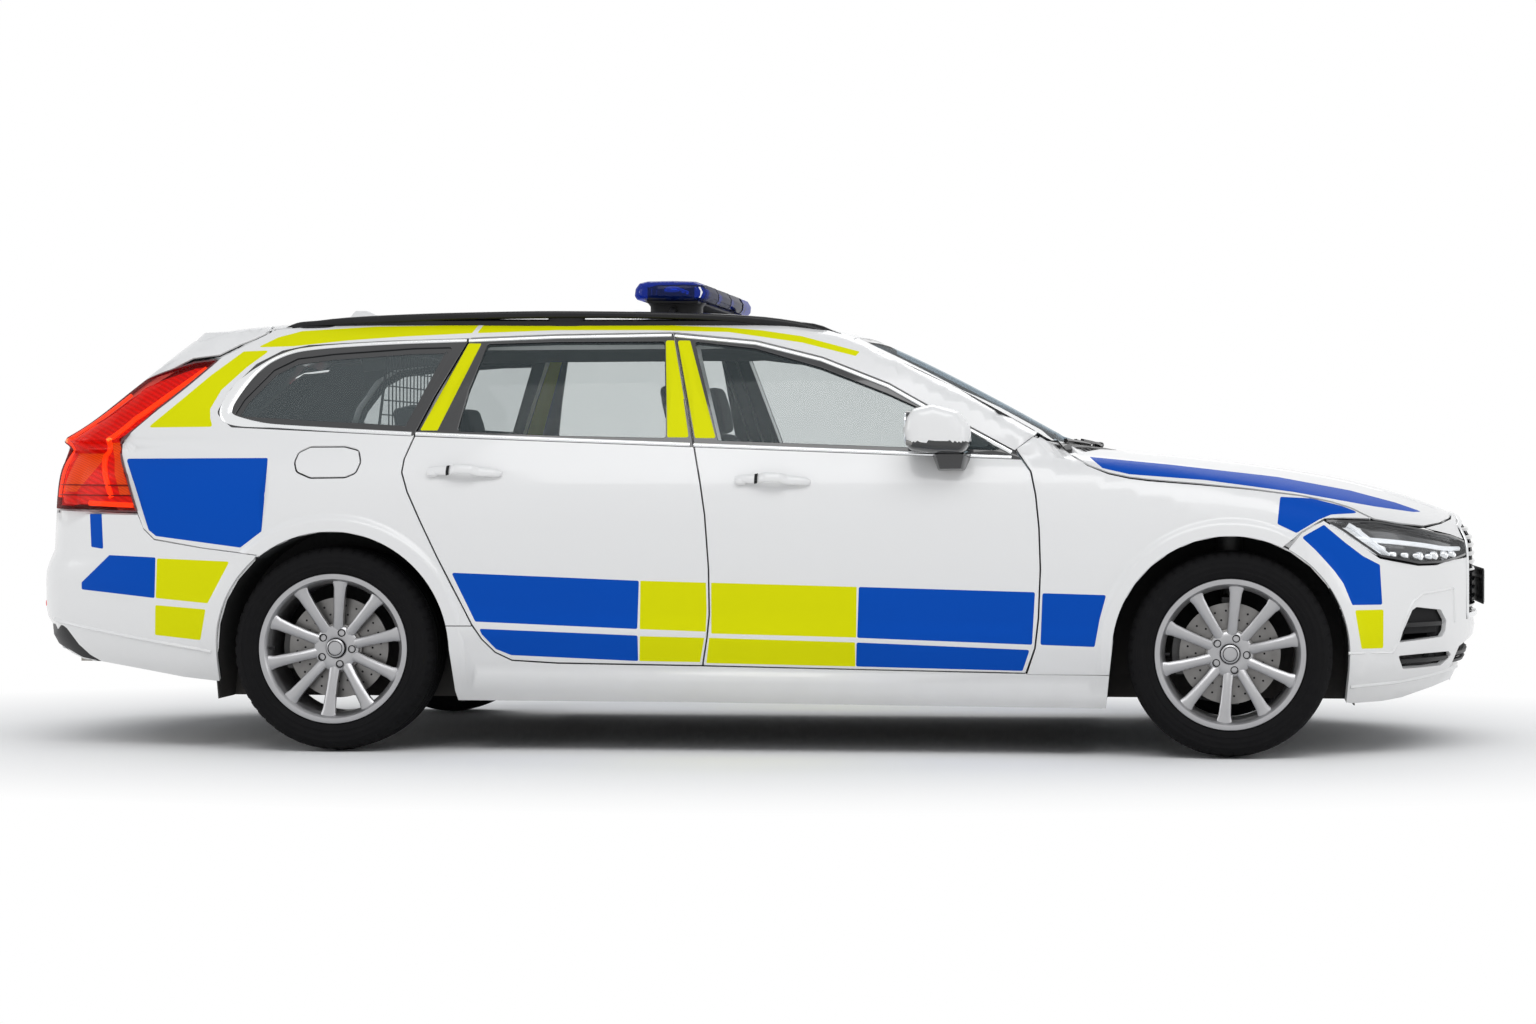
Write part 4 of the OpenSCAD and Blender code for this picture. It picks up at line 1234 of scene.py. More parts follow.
SIDE_OUTLINE = [(1262, 156), (1262, 262), (936, 264), (870, 300), (860, 940), (889, 1000),
    (952, 1050), (966, 1068), (831, 1141), (662, 1217), (491, 1297), (378, 1348), (340, 1368),
    (250, 1398), (100, 1415), (-200, 1423), (-600, 1425), (-1000, 1422), (-1300, 1416),
    (-1500, 1409), (-1625, 1398), (-1793, 1301), (-1845, 1248), (-1902, 1194), (-1988, 1120),
    (-2058, 1046), (-2086, 1003), (-2084, 975), (-2050, 905), (-1999, 778), (-1980, 732),
    (-1942, 697), (-1778, 669), (-1588, 646), (-1500, 560), (-1345, 300), (-1040, 168),
    (-153, 168)]
FENDER_OUTLINE = eased([(932, 264), (962, 353), (973, 451), (979, 614), (974, 745), (962, 853),
    (945, 929), (899, 992), (893, 1003), (950, 1046), (1033, 1019), (1083, 980), (1133, 950),
    (1199, 924), (1265, 910), (1330, 902), (1494, 890), (1658, 876), (1822, 856), (1920, 837),
    (1986, 817), (2067, 778), (1960, 781), (1900, 779), (1825, 735), (1769, 689), (1596, 500),
    (1262, 264)], 5)
SEAM = [(-990, 417), (-870, 417), (-870, 414), (-990, 414)]


def side_sheets(with_flap):
    arches = [arch_hole(x) for x in AXLES]
    holes = [kept_out(BOTH_DOORS), QUARTER_PANE, *arches]
    if with_flap:
        holes.append(kept_out(FUEL_FLAP))
    flares = [zone for x in AXLES for zone in flare_zones(x)]
    zones = [*flares, *SIDE_FILM, (SEAM, SEAL)]
    made = side_skin(eased(SIDE_OUTLINE, 8), holes, zones)
    rear = chaikin([(-1106, 1044), (-1454, 1061), (-1690, 1076), (-1762, 1104), (-1724, 1190),
        (-1655, 1266), (-1580, 1312), (-1495, 1333), (-1231, 1351), (-962, 1360)])
    tip = np.hypot(rear[:, 0] + 1735, rear[:, 1] - 1150)
    strip = trim_strip(rear, 1 + 2.0 * (1 - smooth(tip, 20, 190)))
    return [*made, strip]


def door_sheets(outline, hole, film, strips, handle):
    zones = [FRAME_ZONE, *film]
    x, z = HANDLES[handle]
    made = side_skin(kept_in(outline), [hole], zones, [(x, z, 66)])
    made.extend(trim_strip(path) for path in strips)
    made.extend(handle_sheets(x, z))
    return made


def handle_sheets(x, z):
    """The pull bar over its dish, and its seam."""
    reach = np.linspace(-124, 124, 25)
    path = np.column_stack([x + 2 + reach, z - reach * 0.03])
    ends = np.abs(reach) / 124
    profile = [(15 * math.cos(a), 8 * math.sin(a)) for a in np.linspace(0, 2 * math.pi, 17)[:-1]]
    widths = 1.1 - 0.35 * ends ** 3
    widths[[0, -1]] = 0.45
    lift = 20 - 12 * ends ** 4
    dish = DISH[2] * (1 - smooth(np.abs(reach - 2) / DISH[0], 0.45, 1.0))
    bar = swept(path, profile, PAINT, widths=widths, lift=lift + dish)
    feet = [swept(path[7:9] * 0.5 + path[6:8] * 0.5, [(a * 1.06, b * 1.08) for a, b in profile],
        SEAL, widths=[1.08, 1.08], lift=(lift + dish)[7:9])]
    for s in (-1, 1):
        foot = from_side(np.array([[x + s * 102, z]]))[0]
        feet.append(blob(foot + np.array([0, -8, 0]), (40, 30, 24), PAINT))
    return [bar, *feet]


def make_side(left):
    side = "left" if left else "right"
    sheets = on_side(side_sheets(not left), left)
    node = f"body_side_{side}"
    sheets.append(lining_of(node, 13, PAINT, LINING))
    solid_object(f"side_skin_{side}", sheets, panel_finishes(), "root", node)


def make_fender(left):
    side = "left" if left else "right"
    zones = [*flare_zones(AXLES[0]), *FENDER_FILM]
    sheets = side_skin(kept_in(FENDER_OUTLINE), [arch_hole(AXLES[0])], zones)
    sheets = on_side(sheets, left)
    if left:
        sheets.append(lining_of("front_fenders", 9, PAINT, SEAL))
    solid_object(f"fender_skin_{side}", sheets, panel_finishes(), "root",
        "front_fenders")


FRONT_STRIPS = ([(-261, 1378), (14, 1352), (240, 1296), (467, 1208), (637, 1114), (749, 1060),
    (880, 990)], [(-165, 1011), (479, 989), (880, 975)])
REAR_STRIPS = ([(-954, 1359), (-657, 1372), (-273, 1380)],
    [(-1092, 1044), (-617, 1027), (-178, 1012)])


def make_door(front, left):
    side = "left" if left else "right"
    end = "front" if front else "rear"
    if front:
        sheets = door_sheets(FRONT_DOOR, FRONT_PANE, FRONT_DOOR_FILM, FRONT_STRIPS, 1)
    else:
        sheets = door_sheets(REAR_DOOR, REAR_PANE, REAR_DOOR_FILM, REAR_STRIPS, 0)
    sheets = on_side(sheets, left)
    node = f"{end}_door_{side}"
    sheets.append(lining_of(node, 8, PAINT, LINING))
    solid_object(f"{end}_door_skin_{side}", sheets, panel_finishes(), node, node)


def make_flap():
    sheets = side_skin(kept_in(FUEL_FLAP))
    sheets.append(lining_of("fuel_flap", 4, PAINT, SEAL))
    solid_object("fuel_flap_skin", sheets, panel_finishes(), "fuel_flap", "fuel_flap")


def make_side_glass():
    for left in (False, True):
        side = "left" if left else "right"
        for node, outline in ((f"front_glass_{side}", FRONT_PANE), (f"rear_glass_{side}",
                REAR_PANE)):
            sheet = trimmed(from_side, grown(outline, 4), step=PANE_STEP)
            solid_object(f"{node}_pane", on_side(slab(sheet, 5, 4, 0), left),
                [finish("glass")], node.replace("glass", "door"), node)
    quarter = both_sides(bordered_pane(grown(QUARTER_PANE, 4), from_side, 24))
    plain_object("quarter_panes", quarter, ["tinted_glass", "gloss_black"], "root",
        "quarter_glass")


# ---------------------------------------------------------------- shared shapes

def at_width(surface, level, wide):
    """The surface's own first measure, on the right, where the body is that far from the middle."""
    turn = np.linspace(0, -1750, 700)
    y = np.abs(surface(np.column_stack([turn, np.full(len(turn), float(level))]))[:, 1])
    top = int(np.argmax(y)) + 1
    return float(np.interp(wide, y[:top], turn[:top]))


def nose_line(points):
    """Side view places in the nose's own measures."""
    return [(nose_turn(x, z), z) for x, z in points]


def tail_line(points):
    """Side view places in the rear's own measures."""
    return [(tail_turn(x, z), z) for x, z in points]


def plan_line(points):
    """Side view places on the skin, in plan."""
    return [(x, -float(half(x, z))) for x, z in points]


def gate_line(points):
    """Side view places in the tailgate's own measures."""
    return [(-float(half(x, z)), gate_turn(x, z)) for x, z in points]


def mirror_line(points, axis=0):
    """The right half of an outline with its left half added."""
    other = [(-a, b) if axis == 0 else (a, -b) for a, b in points[::-1]]
    return list(points) + [p for p in other if p not in points]


def on_nose(wide_and_level):
    """Places on the nose, each from its distance to the middle and its height."""
    return [(at_width(from_nose, z, wide), z) for wide, z in wide_and_level]


def on_tail(wide_and_level):
    """Places on the rear, each from its distance to the middle and its height."""
    return [(at_width(from_tail, z, wide), z) for wide, z in wide_and_level]


def looped(outline):
    """The closed outline as a line that runs on over its own start."""
    return np.vstack([outline, outline[:2]])


def sunk(sheet, depth):
    """A copy of the sheet that lies deeper in the body."""
    return Sheet(sheet.points - sheet.normals * depth, sheet.faces, sheet.normals, sheet.finish)


def tube(rings, finish, angle=50.0, caps=True, closed=False):
    """A skin over rings of points with the same count."""
    rings = [np.array(r, float) for r in rings]
    n = len(rings[0])
    faces = []
    last = len(rings) if closed else len(rings) - 1
    for k in range(last):
        for j in range(n):
            a, b = k * n + j, k * n + (j + 1) % n
            c = ((k + 1) % len(rings)) * n
            faces.append((a, b, c + (j + 1) % n, c + j))
    if caps and not closed:
        faces.append(tuple(range(n))[::-1])
        faces.append(tuple((len(rings) - 1) * n + j for j in range(n)))
    points = np.vstack(rings)
    middle = points.mean(0)
    volume = 0.0
    for f in faces:
        p = points[list(f)] - middle
        for i in range(1, len(f) - 1):
            volume += float(np.dot(p[0], np.cross(p[i], p[i + 1])))
    if volume < 0:
        faces = [f[::-1] for f in faces]
    return Sheet(points, faces, angle, finish)


def wire(path, radius, finish, n=10, squash=1.0):
    """A round bar along points in space, thicker or thinner upright by squash."""
    p = np.array(path, float)
    along = np.gradient(p, axis=0)
    along /= np.linalg.norm(along, axis=1)[:, None]
    up = np.tile([0.0, 0.0, 1.0], (len(p), 1))
    flat = np.abs(along[:, 2]) > 0.9
    up[flat] = [1.0, 0.0, 0.0]
    side = np.cross(along, up)
    side /= np.linalg.norm(side, axis=1)[:, None]
    up = np.cross(side, along)
    size = np.full(len(p), float(radius)) if np.isscalar(radius) else np.array(radius, float)
    turn = np.linspace(0, 2 * math.pi, n + 1)[:-1]
    rings = [[p[k] + side[k] * math.cos(a) * size[k] + up[k] * math.sin(a) * size[k] * squash
        for a in turn] for k in range(len(p))]
    return tube(rings, finish)


def revolved(profile, n, finish, centre=(0, 0, 0), angle=40.0):
    """A ring about the y axis from a closed profile of (radius, y)."""
    rings = []
    for k in range(n):
        a = 2 * math.pi * k / n
        rings.append([(r * math.cos(a), y, r * math.sin(a)) for r, y in profile])
    sheet = tube(rings, finish, angle, closed=True)
    return sheet.moved(centre)


def oval(n, wide, high, power=2.6):
    """A rounded rectangle of n points about the origin."""
    out = []
    for k in range(n):
        a = 2 * math.pi * k / n
        c, s = math.cos(a), math.sin(a)
        out.append((wide * math.copysign(abs(c) ** (2 / power), c),
            high * math.copysign(abs(s) ** (2 / power), s)))
    return out


def dress(nodes, kind):
    """Gives CAD nodes that stay in view their finish."""
    for node in nodes:
        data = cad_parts[node].data
        data.materials.clear()
        data.materials.append(finish(kind))


def plain_object(name, sheets, kinds, body, stands_for=()):
    solid_object(name, sheets, [finish(k) for k in kinds], body, stands_for)


# ---------------------------------------------------------------- bonnet, roof and glass

BONNET_EDGE = [(1083, 980), (1133, 950), (1199, 924), (1265, 910), (1330, 902), (1494, 890),
    (1658, 876), (1822, 856), (1920, 837), (1986, 817), (2067, 777), (2160, 762)]
BONNET_FRONT = [(2240, -707), (2300, -582), (2345, -420), (2364, -220), (2370, -80)]
BONNET_REAR = [(1214, -60), (1208, -200), (1160, -500), (1060, -770)]
STRIPE_TOP = [(1129, 978), (1400, 953), (1754, 914), (1996, 870), (2150, 830), (2238, 799)]
STRIPE_LOW = [(2205, 799), (2071, 818), (1803, 865), (1514, 903), (1265, 921), (1176, 941)]


def make_bonnet():
    right = BONNET_REAR + plan_line(BONNET_EDGE) + BONNET_FRONT
    outline = kept_in(eased(mirror_line(right, 1), 10))
    stripe = eased(plan_line(STRIPE_TOP + STRIPE_LOW), 7)
    zones = [(stripe, BLUE), (stripe * np.array([1, -1]), BLUE)]
    sheets = side_skin(outline, (), zones, step=44, surface=from_top)
    for s in (-1, 1):
        ridge = [(1240, s * 330), (1500, s * 350), (1800, s * 372), (2100, s * 372),
            (2300, s * 330)]
        sheets.append(swept(dense(ridge, 30, False), [(-26, -4), (-10, 1.0), (0, 2.2), (10, 1.0),
            (26, -4)], PAINT, from_top))
    sheets.append(lining_of("bonnet", 8, PAINT, LINING))
    solid_object("bonnet_skin", sheets, panel_finishes(), "bonnet", "bonnet")


ROOF_EDGE = [(340, 1368), (250, 1398), (100, 1415), (-200, 1423), (-600, 1425), (-1000, 1422),
    (-1300, 1416), (-1500, 1409), (-1640, 1396)]
SCREEN_TOP = [(372, 0), (366, -300), (345, -560)]
SCREEN = [(392, -608), (491, -640), (662, -684), (831, -722), (966, -750), (1036, -762),
    (1062, -640), (1088, -400), (1104, -150), (1108, 0)]


def make_roof():
    edge = [(x, y + 2) for x, y in plan_line(ROOF_EDGE)]
    right = [*SCREEN_TOP, *edge, (-1650, -560), (-1652, 0)]
    outline = kept_in(eased(mirror_line(right, 1), 6))
    sheets = side_skin(outline, step=60, surface=from_top)
    for y in (-470, -235, 235, 470):
        bead = [(150 - abs(y) / 6, y), (-700, y), (-1560, y)]
        sheets.append(swept(dense(bead, 60, False), [(-16, -4), (-7, 0.8), (0, 1.8), (7, 0.8),
            (16, -4)], PAINT, from_top))
    pillar = [(345, -563), (392, -612), (491, -644), (662, -688), (831, -726), (966, -754),
        (1034, -766), *plan_line([(1034, 1021), (966, 1068), (831, 1141), (662, 1217), (491, 1297),
            (378, 1348), (340, 1368)])]
    sheets.extend(both_sides([trimmed(from_top, dense(pillar, 30), step=30, finish=PAINT)]))
    sheets.append(lining_of("roof_panel", 8, PAINT, PALE))
    solid_object("roof_skin", sheets, panel_finishes(), "root", "roof_panel")


def bordered_pane(outline, surface, border, sink=5, thick=4):
    """A pane with a printed black border."""
    inner = eased(grown(outline, -border), 20)
    sheet = trimmed(surface, outline, zones=[(inner, 0)], step=PANE_STEP, finish=1)
    return slab(sheet, sink, thick, 1)


def make_windscreen():
    outline = eased(mirror_line(SCREEN_TOP + SCREEN, 1), 25)
    plain_object("windscreen_pane", bordered_pane(grown(outline, 3), from_top, 34, 3),
        ["screen_glass", "gloss_black"], "root", "windscreen")


def make_cowl():
    right = [(1112, 0), (1106, -150), (1090, -400), (1064, -640), (1036, -764), (1030, -784),
        (1058, -768), (1158, -500), (1205, -200), (1210, 0)]
    outline = eased(mirror_line(right, 1), 3)
    sheet = trimmed(from_top, outline, step=24)
    sheets = [sunk(sheet, 6), hem(sunk(sheet, 6), 1, 12)]
    for k in range(28):
        y = -640 + k * 1280 / 27
        x = 1126 - 70 * (y / 800) ** 2
        sheets.append(swept([(x, y), (x + 22, y), (x + 44, y)], [(-6, -9), (-4, -3), (4, -3),
            (6, -9)], 0, from_top))
    plain_object("cowl_skin", sheets, ["black_plastic"], "root", ())


def make_wipers():
    sheets = []
    for pivot, tip in (((1120, 560), (1074, 30)), ((1146, -60), (1062, -600))):
        pivot, tip = np.array(pivot, float), np.array(tip, float)
        t = np.linspace(0, 1, 16)[:, None]
        arm = pivot + (tip - pivot) * t * 0.62 + np.array([9.0, 0]) * np.sin(t * math.pi)
        widths = np.linspace(1.3, 0.7, 16)
        sheets.append(swept(arm, [(-9, 5), (-7, 12), (7, 12), (9, 5)], 0, from_top, widths,
            np.linspace(4, 9, 16)))
        blade = pivot + (tip - pivot) * (0.2 + 0.8 * t) + np.array([-16.0, 0])
        sheets.append(swept(blade, [(-5, -2), (-8, 8), (0, 13), (8, 8), (5, -2)], 0, from_top))
        base = from_top(pivot[None, :])[0]
        sheets.append(blob(base + np.array([0, 0, 9]), (34, 34, 22), 0))
    plain_object("wiper_arms", sheets, ["rail_black"], "root", "wipers")


# ---------------------------------------------------------------- front end

BUMPER_TOP = [(1825, 735), (1897, 776), (1969, 730), (2024, 691), (2083, 652), (2214, 627),
    (2280, 627), (2320, 640)]
FRONT_LOW = [(2360, 219), (2282, 206), (2166, 180), (2099, 172), (2000, 169), (1976, 172)]
FOG_INTAKE = [(2143, 372), (2192, 481), (2208, 491), (2297, 478), (2320, 439), (2317, 403),
    (2304, 383)]
LOW_INTAKE = [(2144, 332), (2334, 333), (2348, 317), (2306, 283), (2164, 282)]
FOG_RECESS = [(2126, 341), (2145, 371), (2169, 453), (2195, 508), (2228, 533), (2345, 545),
    (2352, 430)]
BUMPER_FILM = (
    ([(1897, 760), (1967, 702), (2026, 658), (2081, 630), (2090, 500), (1990, 500), (1961, 570),
        (1931, 611), (1897, 649), (1867, 681), (1825, 719)], BLUE),
    ([(1999, 483), (2094, 484), (2095, 357), (2022, 357)], YELLOW),
)


def both_turns(line):
    """The line, and its mirror image on the other side."""
    line = np.array(line, float)
    return line, line * np.array([-1, 1])


def arch_line(x, start, end, n=18):
    """Part of a wheel opening's edge, in degrees from ahead."""
    a = np.radians(np.linspace(start, end, n))
    r = ARCH_R + ROUND
    return [(x + r * math.cos(t), WHEEL_Z + r * math.sin(t)) for t in a]


def make_arch_liners():
    """Black inner wheel arches: a band over each wheel, and the wall inboard of it."""
    sheets = []
    for x, inner in zip(AXLES, (-480, -650)):
        outline = [(x + arch_spread(z) + 3, z) for z in (165, 220, 280)]
        outline += [tuple(p) for p in ring(x, WHEEL_Z, ARCH_R + 5, 0, 180, 40)]
        outline += [(x - arch_spread(z) - 3, z) for z in (280, 220, 165)]
        middle = np.array([x, WHEEL_Z])
        rings = []
        for p in np.array(outline):
            reach = float(half(p[0], p[1])) - 14
            out = p + (p - middle) * 5 / np.linalg.norm(p - middle)
            rings.append([(p[0], inner, p[1]), (p[0], -reach, p[1]), (out[0], -reach, out[1]),
                (out[0], inner, out[1])])
        sheets.append(tube(rings, 0, 40.0))
        sheets.append(tube([[(a, y, b) for a, b in outline] for y in (inner, inner + 5)], 0))
    plain_object("arch_liners", both_sides(sheets), ["underbody"], "root", "wheel_liners")


def nose_cap():
    """The painted panel between the bonnet's front edge, the headlamp and the grille."""
    edge = from_top(np.array([*BONNET_FRONT, (2367, -150)], float))
    upper = sorted((-1000 * math.atan2(-y, x - NOSE_X), z - 3) for x, y, z in edge)
    low = on_nose([(312, 775), (440, 752), (452, 706)])
    return np.array([*upper, *low, (at_width(from_nose, 722, 560), 724)])


MOUTH_SIDE = 470
RIB = [(-6, -16), (-7, -6), (0, -3), (7, -6), (6, -16)]
INTAKE_RIBS = ((430, (2172, 2306)), (308, (2160, 2336)))
LIP_LINE = [(1990, 229), (2150, 240), (2260, 252), (2376, 268)]


def front_bumper_outline():
    arch = nose_line([*arch_line(AXLES[0], 62, 0), (1982, 280), (1979, 225)])
    low = [*on_nose([(300, 232)]), (0, 236)]
    right = [(0, 436), *on_nose([(424, 436), (428, 560), (430, 646)]),
        *nose_line(BUMPER_TOP[::-1]), *arch, *nose_line(FRONT_LOW[::-1]), *low]
    return kept_in(eased(mirror_line(right), 6))


def front_bumper_holes(middle):
    """The two openings on each side and the wide mouth under the grille."""
    holes = []
    for points in (FOG_INTAKE, LOW_INTAKE):
        holes.extend(both_turns(eased(nose_line(points), 9)))
    mouth = mirror_line([(0, 258), (middle, 262), (middle + 40, 345), (0, 348)])
    return [*holes, eased(mouth, 12)]


def front_bumper_side(turn):
    """Ribs, creases and the nose cap of one side."""
    sheets = []
    for z, reach in INTAKE_RIBS:
        path = np.array(nose_line([(x, z) for x in np.linspace(*reach, 12)])) * turn
        sheets.append(swept(path, RIB, MATT, from_nose))
    crease = np.array(nose_line([(x, 342 - (x > 2126) * 2) for x in
        np.linspace(1980, 2126, 14)])) * turn
    sheets.append(swept(crease, [(-5, -3), (-3, 0.6), (0, 2.4), (3, 0.6), (5, -3)], PAINT,
        from_nose))
    brow = np.array(nose_line(dense(FOG_RECESS, 16, False))) * turn
    sheets.append(swept(brow, [(-7, -3), (-4, 1.5), (0, 4.5), (4, 1.5), (7, -3)], PAINT,
        from_nose))
    lip = np.array(nose_line(dense(LIP_LINE, 20, False))) * turn
    sheets.append(swept(lip, [(-9, -3), (-5, 3), (0, 5), (5, 2), (9, -3)], PAINT, from_nose))
    sheets.append(trimmed(from_nose, nose_cap() * turn, finish=PAINT))
    return sheets


def make_front_bumper():
    middle = at_width(from_nose, 300, MOUTH_SIDE)
    zones = []
    for points, kind in BUMPER_FILM:
        zones.extend((z, kind) for z in both_turns(eased(nose_line(points), 7)))
    skin = trimmed(from_nose, front_bumper_outline(), front_bumper_holes(middle), zones,
        finish=PAINT)
    # The hem's deep black band is partly rubber seal, partly painted shade in the gap round the
    # bumper.
    sheets = [skin, hem(skin, ROUND, 26, SEAL, 14)]
    for s in (1, -1):
        sheets.extend(front_bumper_side(np.array([s, 1])))
    for z in (288, 316):
        path = [(t, z) for t in np.linspace(middle + 20, -middle - 20, 40)]
        sheets.append(swept(path, [(-5, -20), (-6, -9), (6, -9), (5, -20)], MATT, from_nose))
    sheets.append(lining_of("front_bumper", 22, SEAL, SEAL))
    solid_object("front_bumper_skin", sheets, panel_finishes(), "root", "front_bumper")


def make_grille():
    """Black slats in a bright frame, left bare in the middle."""
    right = [(0, 446), *on_nose([(415, 446), (421, 560), (424, 700)]),
        (at_width(from_nose, 752, 424), 748), (at_width(from_nose, 775, 300), 772), (0, 786)]
    outline = eased(mirror_line(right), 16)
    back = sunk(trimmed(from_nose, outline, step=60, finish=0), 30)
    sheets = [back]
    bead = [(-9, -14), (-9, 1), (-4, 5), (4, 5), (9, 1), (9, -14)]
    sheets.append(swept(dense(looped(outline), 24, False), bead, 1, from_nose))
    for z in range(478, 770, 29):
        reach = at_width(from_nose, z, 408) if z < 750 else at_width(from_nose, z, 330)
        path = [(t, z) for t in np.linspace(reach, -reach, 44)]
        sheets.append(swept(path, [(-8, -26), (-9, -8), (-3, -3), (5, -6), (8, -26)], 0,
            from_nose))
    for y in range(-360, 361, 90):
        turn = math.copysign(at_width(from_nose, 600, abs(y)), y) if y else 0.0
        sheets.append(swept([(turn, z) for z in np.linspace(462, 758, 14)], [(-4, -28), (-4, -12),
            (4, -12), (4, -28)], 0, from_nose))
    plain_object("grille_bars", sheets, ["gloss_black", "bright_trim"], "root", "grille")


LAMP_STEP = 26
LAMP_OUT = [(1900, 776), (1926, 777), (2067, 773), (2240, 743), (2285, 732)]
LAMP_LOW = [(2280, 631), (2214, 631), (2083, 656), (2024, 695), (1969, 734)]
LAMP_SILVER = [(1903, 774), (1981, 772), (2027, 756), (2048, 719), (2086, 700), (2114, 687),
    (2119, 655), (2070, 660), (2024, 693), (1969, 734)]
LAMP_GUIDE = [(1983, 719), (2081, 711), (2160, 704), (2238, 694), (2300, 682)]
LAMP_BAR = [(1922, 768), (1956, 744), (1986, 719), (2035, 690), (2086, 664)]
LAMP_BAR_2 = [(1982, 769), (2020, 740), (2062, 708), (2100, 676), (2119, 660)]


LAMP_SPOTS_X = (2132, 2175, 2218, 2262)
LAMP_SPOTS_Y = (760, 690, 620, 550)
CLEAR, DARK, SILVER, LIT = range(4)


def lamp_outline():
    inner_top = at_width(from_nose, 704, 438)
    inner_low = at_width(from_nose, 650, 438)
    shoulder = at_width(from_nose, 722, 560)
    belly = at_width(from_nose, 634, 620)
    return eased([*nose_line(LAMP_OUT), (shoulder, 722), (inner_top, 700), (inner_low, 652),
        (belly, 634), *nose_line(LAMP_LOW)], 9)


def lamp_spot(place, cup, bulb, depth):
    """A small reflector cup with its bulb, sunk at a place on the nose."""
    at = from_nose(np.array([place]))[0]
    n = skin_normal(at[None, :])[0]
    return [blob(at - n * depth, cup, SILVER, 3.2, 20, 10), blob(at - n * 8, bulb, LIT, 2.2, 16, 8)]


def make_headlamps():
    outline = grown(lamp_outline(), -GAP - 1)
    silver = (eased(nose_line(LAMP_SILVER), 6), SILVER)
    well = sunk(trimmed(from_nose, outline, zones=[silver], step=LAMP_STEP, finish=DARK), 26)
    wall = hem(trimmed(from_nose, outline, step=LAMP_STEP, finish=DARK), 1.5, 27)
    sheets = [well, wall]
    sheets.append(swept(dense(looped(outline), 20, False), [(-4, -6), (-4, 0.6), (3, 0.6),
        (3, -6)], DARK, from_nose))
    inner = at_width(from_nose, 674, 470)
    guide = nose_line(LAMP_GUIDE) + [(at_width(from_nose, 678, 600), 678), (inner, 675)]
    sheets.append(swept(dense(guide, 12, False), [(-7, -22), (-7, -12), (0, -8), (7, -12),
        (7, -22)], LIT, from_nose))
    for line, wide in ((LAMP_BAR, 1.0), (LAMP_BAR_2, 0.8)):
        path = dense(nose_line(line), 12, False)
        sheets.append(swept(path, [(-6, -24), (-6, -11), (0, -7), (6, -11), (6, -24)], LIT,
            from_nose, widths=np.full(len(path), wide)))
    for x in LAMP_SPOTS_X:
        place = (nose_turn(x, 662), 662 - (x - LAMP_SPOTS_X[0]) * 0.07)
        sheets.extend(lamp_spot(place, (30, 26, 22), (13, 13, 13), 18))
    for y in LAMP_SPOTS_Y:
        place = (at_width(from_nose, 655, y), 655.0)
        sheets.extend(lamp_spot(place, (34, 44, 32), (18, 22, 16), 20))
    sheets.append(trimmed(from_nose, outline, step=LAMP_STEP, finish=CLEAR))
    plain_object("headlamp_units", both_sides(sheets), ["clear_lens", "gloss_black", "reflector",
        "light_guide"], "root", "headlamps")


# ---------------------------------------------------------------- rear end

TAIL_INNER = [(-1799, 1297), (-1845, 1250), (-1902, 1196), (-1988, 1122), (-2058, 1048),
    (-2089, 1005), (-2088, 980), (-2050, 907), (-2001, 782)]
GLOW_LINE = [(-1842, 1268), (-1955, 1178), (-2060, 1098), (-2130, 1028), (-2152, 975),
    (-2140, 915), (-2106, 832)]
GLOW_END = [(-2190, 812), (-2024, 806)]
AMBER = [(-2142, 1000), (-2118, 968), (-2106, 912), (-2078, 840), (-2040, 840), (-2072, 914),
    (-2088, 970), (-2096, 1003)]


TAIL_SIDE = 648
COVER, BED, RED_PART, GLOW, AMBER_PART, HOUSING = range(6)


def tail_outline():
    edge = on_tail([(TAIL_SIDE, z) for z in (786, 850, 920, 1000, 1060, 1120, 1180, 1230)])
    top = [(tail_turn(-1885, 1286), 1286)]
    return eased([*tail_line(TAIL_INNER[::-1]), *top, *edge[::-1]], 7)


def make_tail_lamps():
    outline = grown(tail_outline(), -GAP)
    rear_block = on_tail([(690, 985), (790, 985), (800, 850), (690, 850)])
    zones = [(eased(grown(outline, -13), 8), RED_PART),
        (eased(tail_line(AMBER), 5), AMBER_PART), (eased(rear_block, 8), AMBER_PART)]
    bed = sunk(trimmed(from_tail, outline, zones=zones, step=LAMP_STEP, finish=BED), 15)
    wall = hem(trimmed(from_tail, outline, step=LAMP_STEP, finish=BED), 1.5, 17)
    sheets = [bed, wall]
    for level in (838, 872):
        shelf = on_tail([(wide, level) for wide in (668, 740, 800)])
        shelf.append((tail_turn(-2036 - (level - 838) * 0.4, level), level))
        sheets.append(swept(dense(shelf, 16, False), [(-2, -14), (-2, -4), (2, -4), (2, -14)],
            BED, from_tail))
    edge = [(-3, -6), (-3, 0.8), (3, 0.8), (3, -6)]
    sheets.append(swept(dense(looped(outline), 20, False), edge, BED, from_tail))
    bar = [(-8, -13), (-8, -6), (0, -3), (8, -6), (8, -13)]
    inner = on_tail([(672, 1180), (672, 1090), (676, 1010), (668, 940), (668, 830)])
    for line in (tail_line(GLOW_LINE), tail_line(GLOW_END), inner):
        sheets.append(swept(dense(line, 14, False), bar, GLOW, from_tail))
    sheets.append(trimmed(from_tail, outline, step=LAMP_STEP, finish=COVER))
    housing = lining_of("tail_lamps", 48, HOUSING, HOUSING)
    plain_object("tail_lamp_units", [*both_sides(sheets), housing], ["red_cover", "dark_red",
        "red_lens", "red_glow", "amber_lens", "seal"], "root", "tail_lamps")


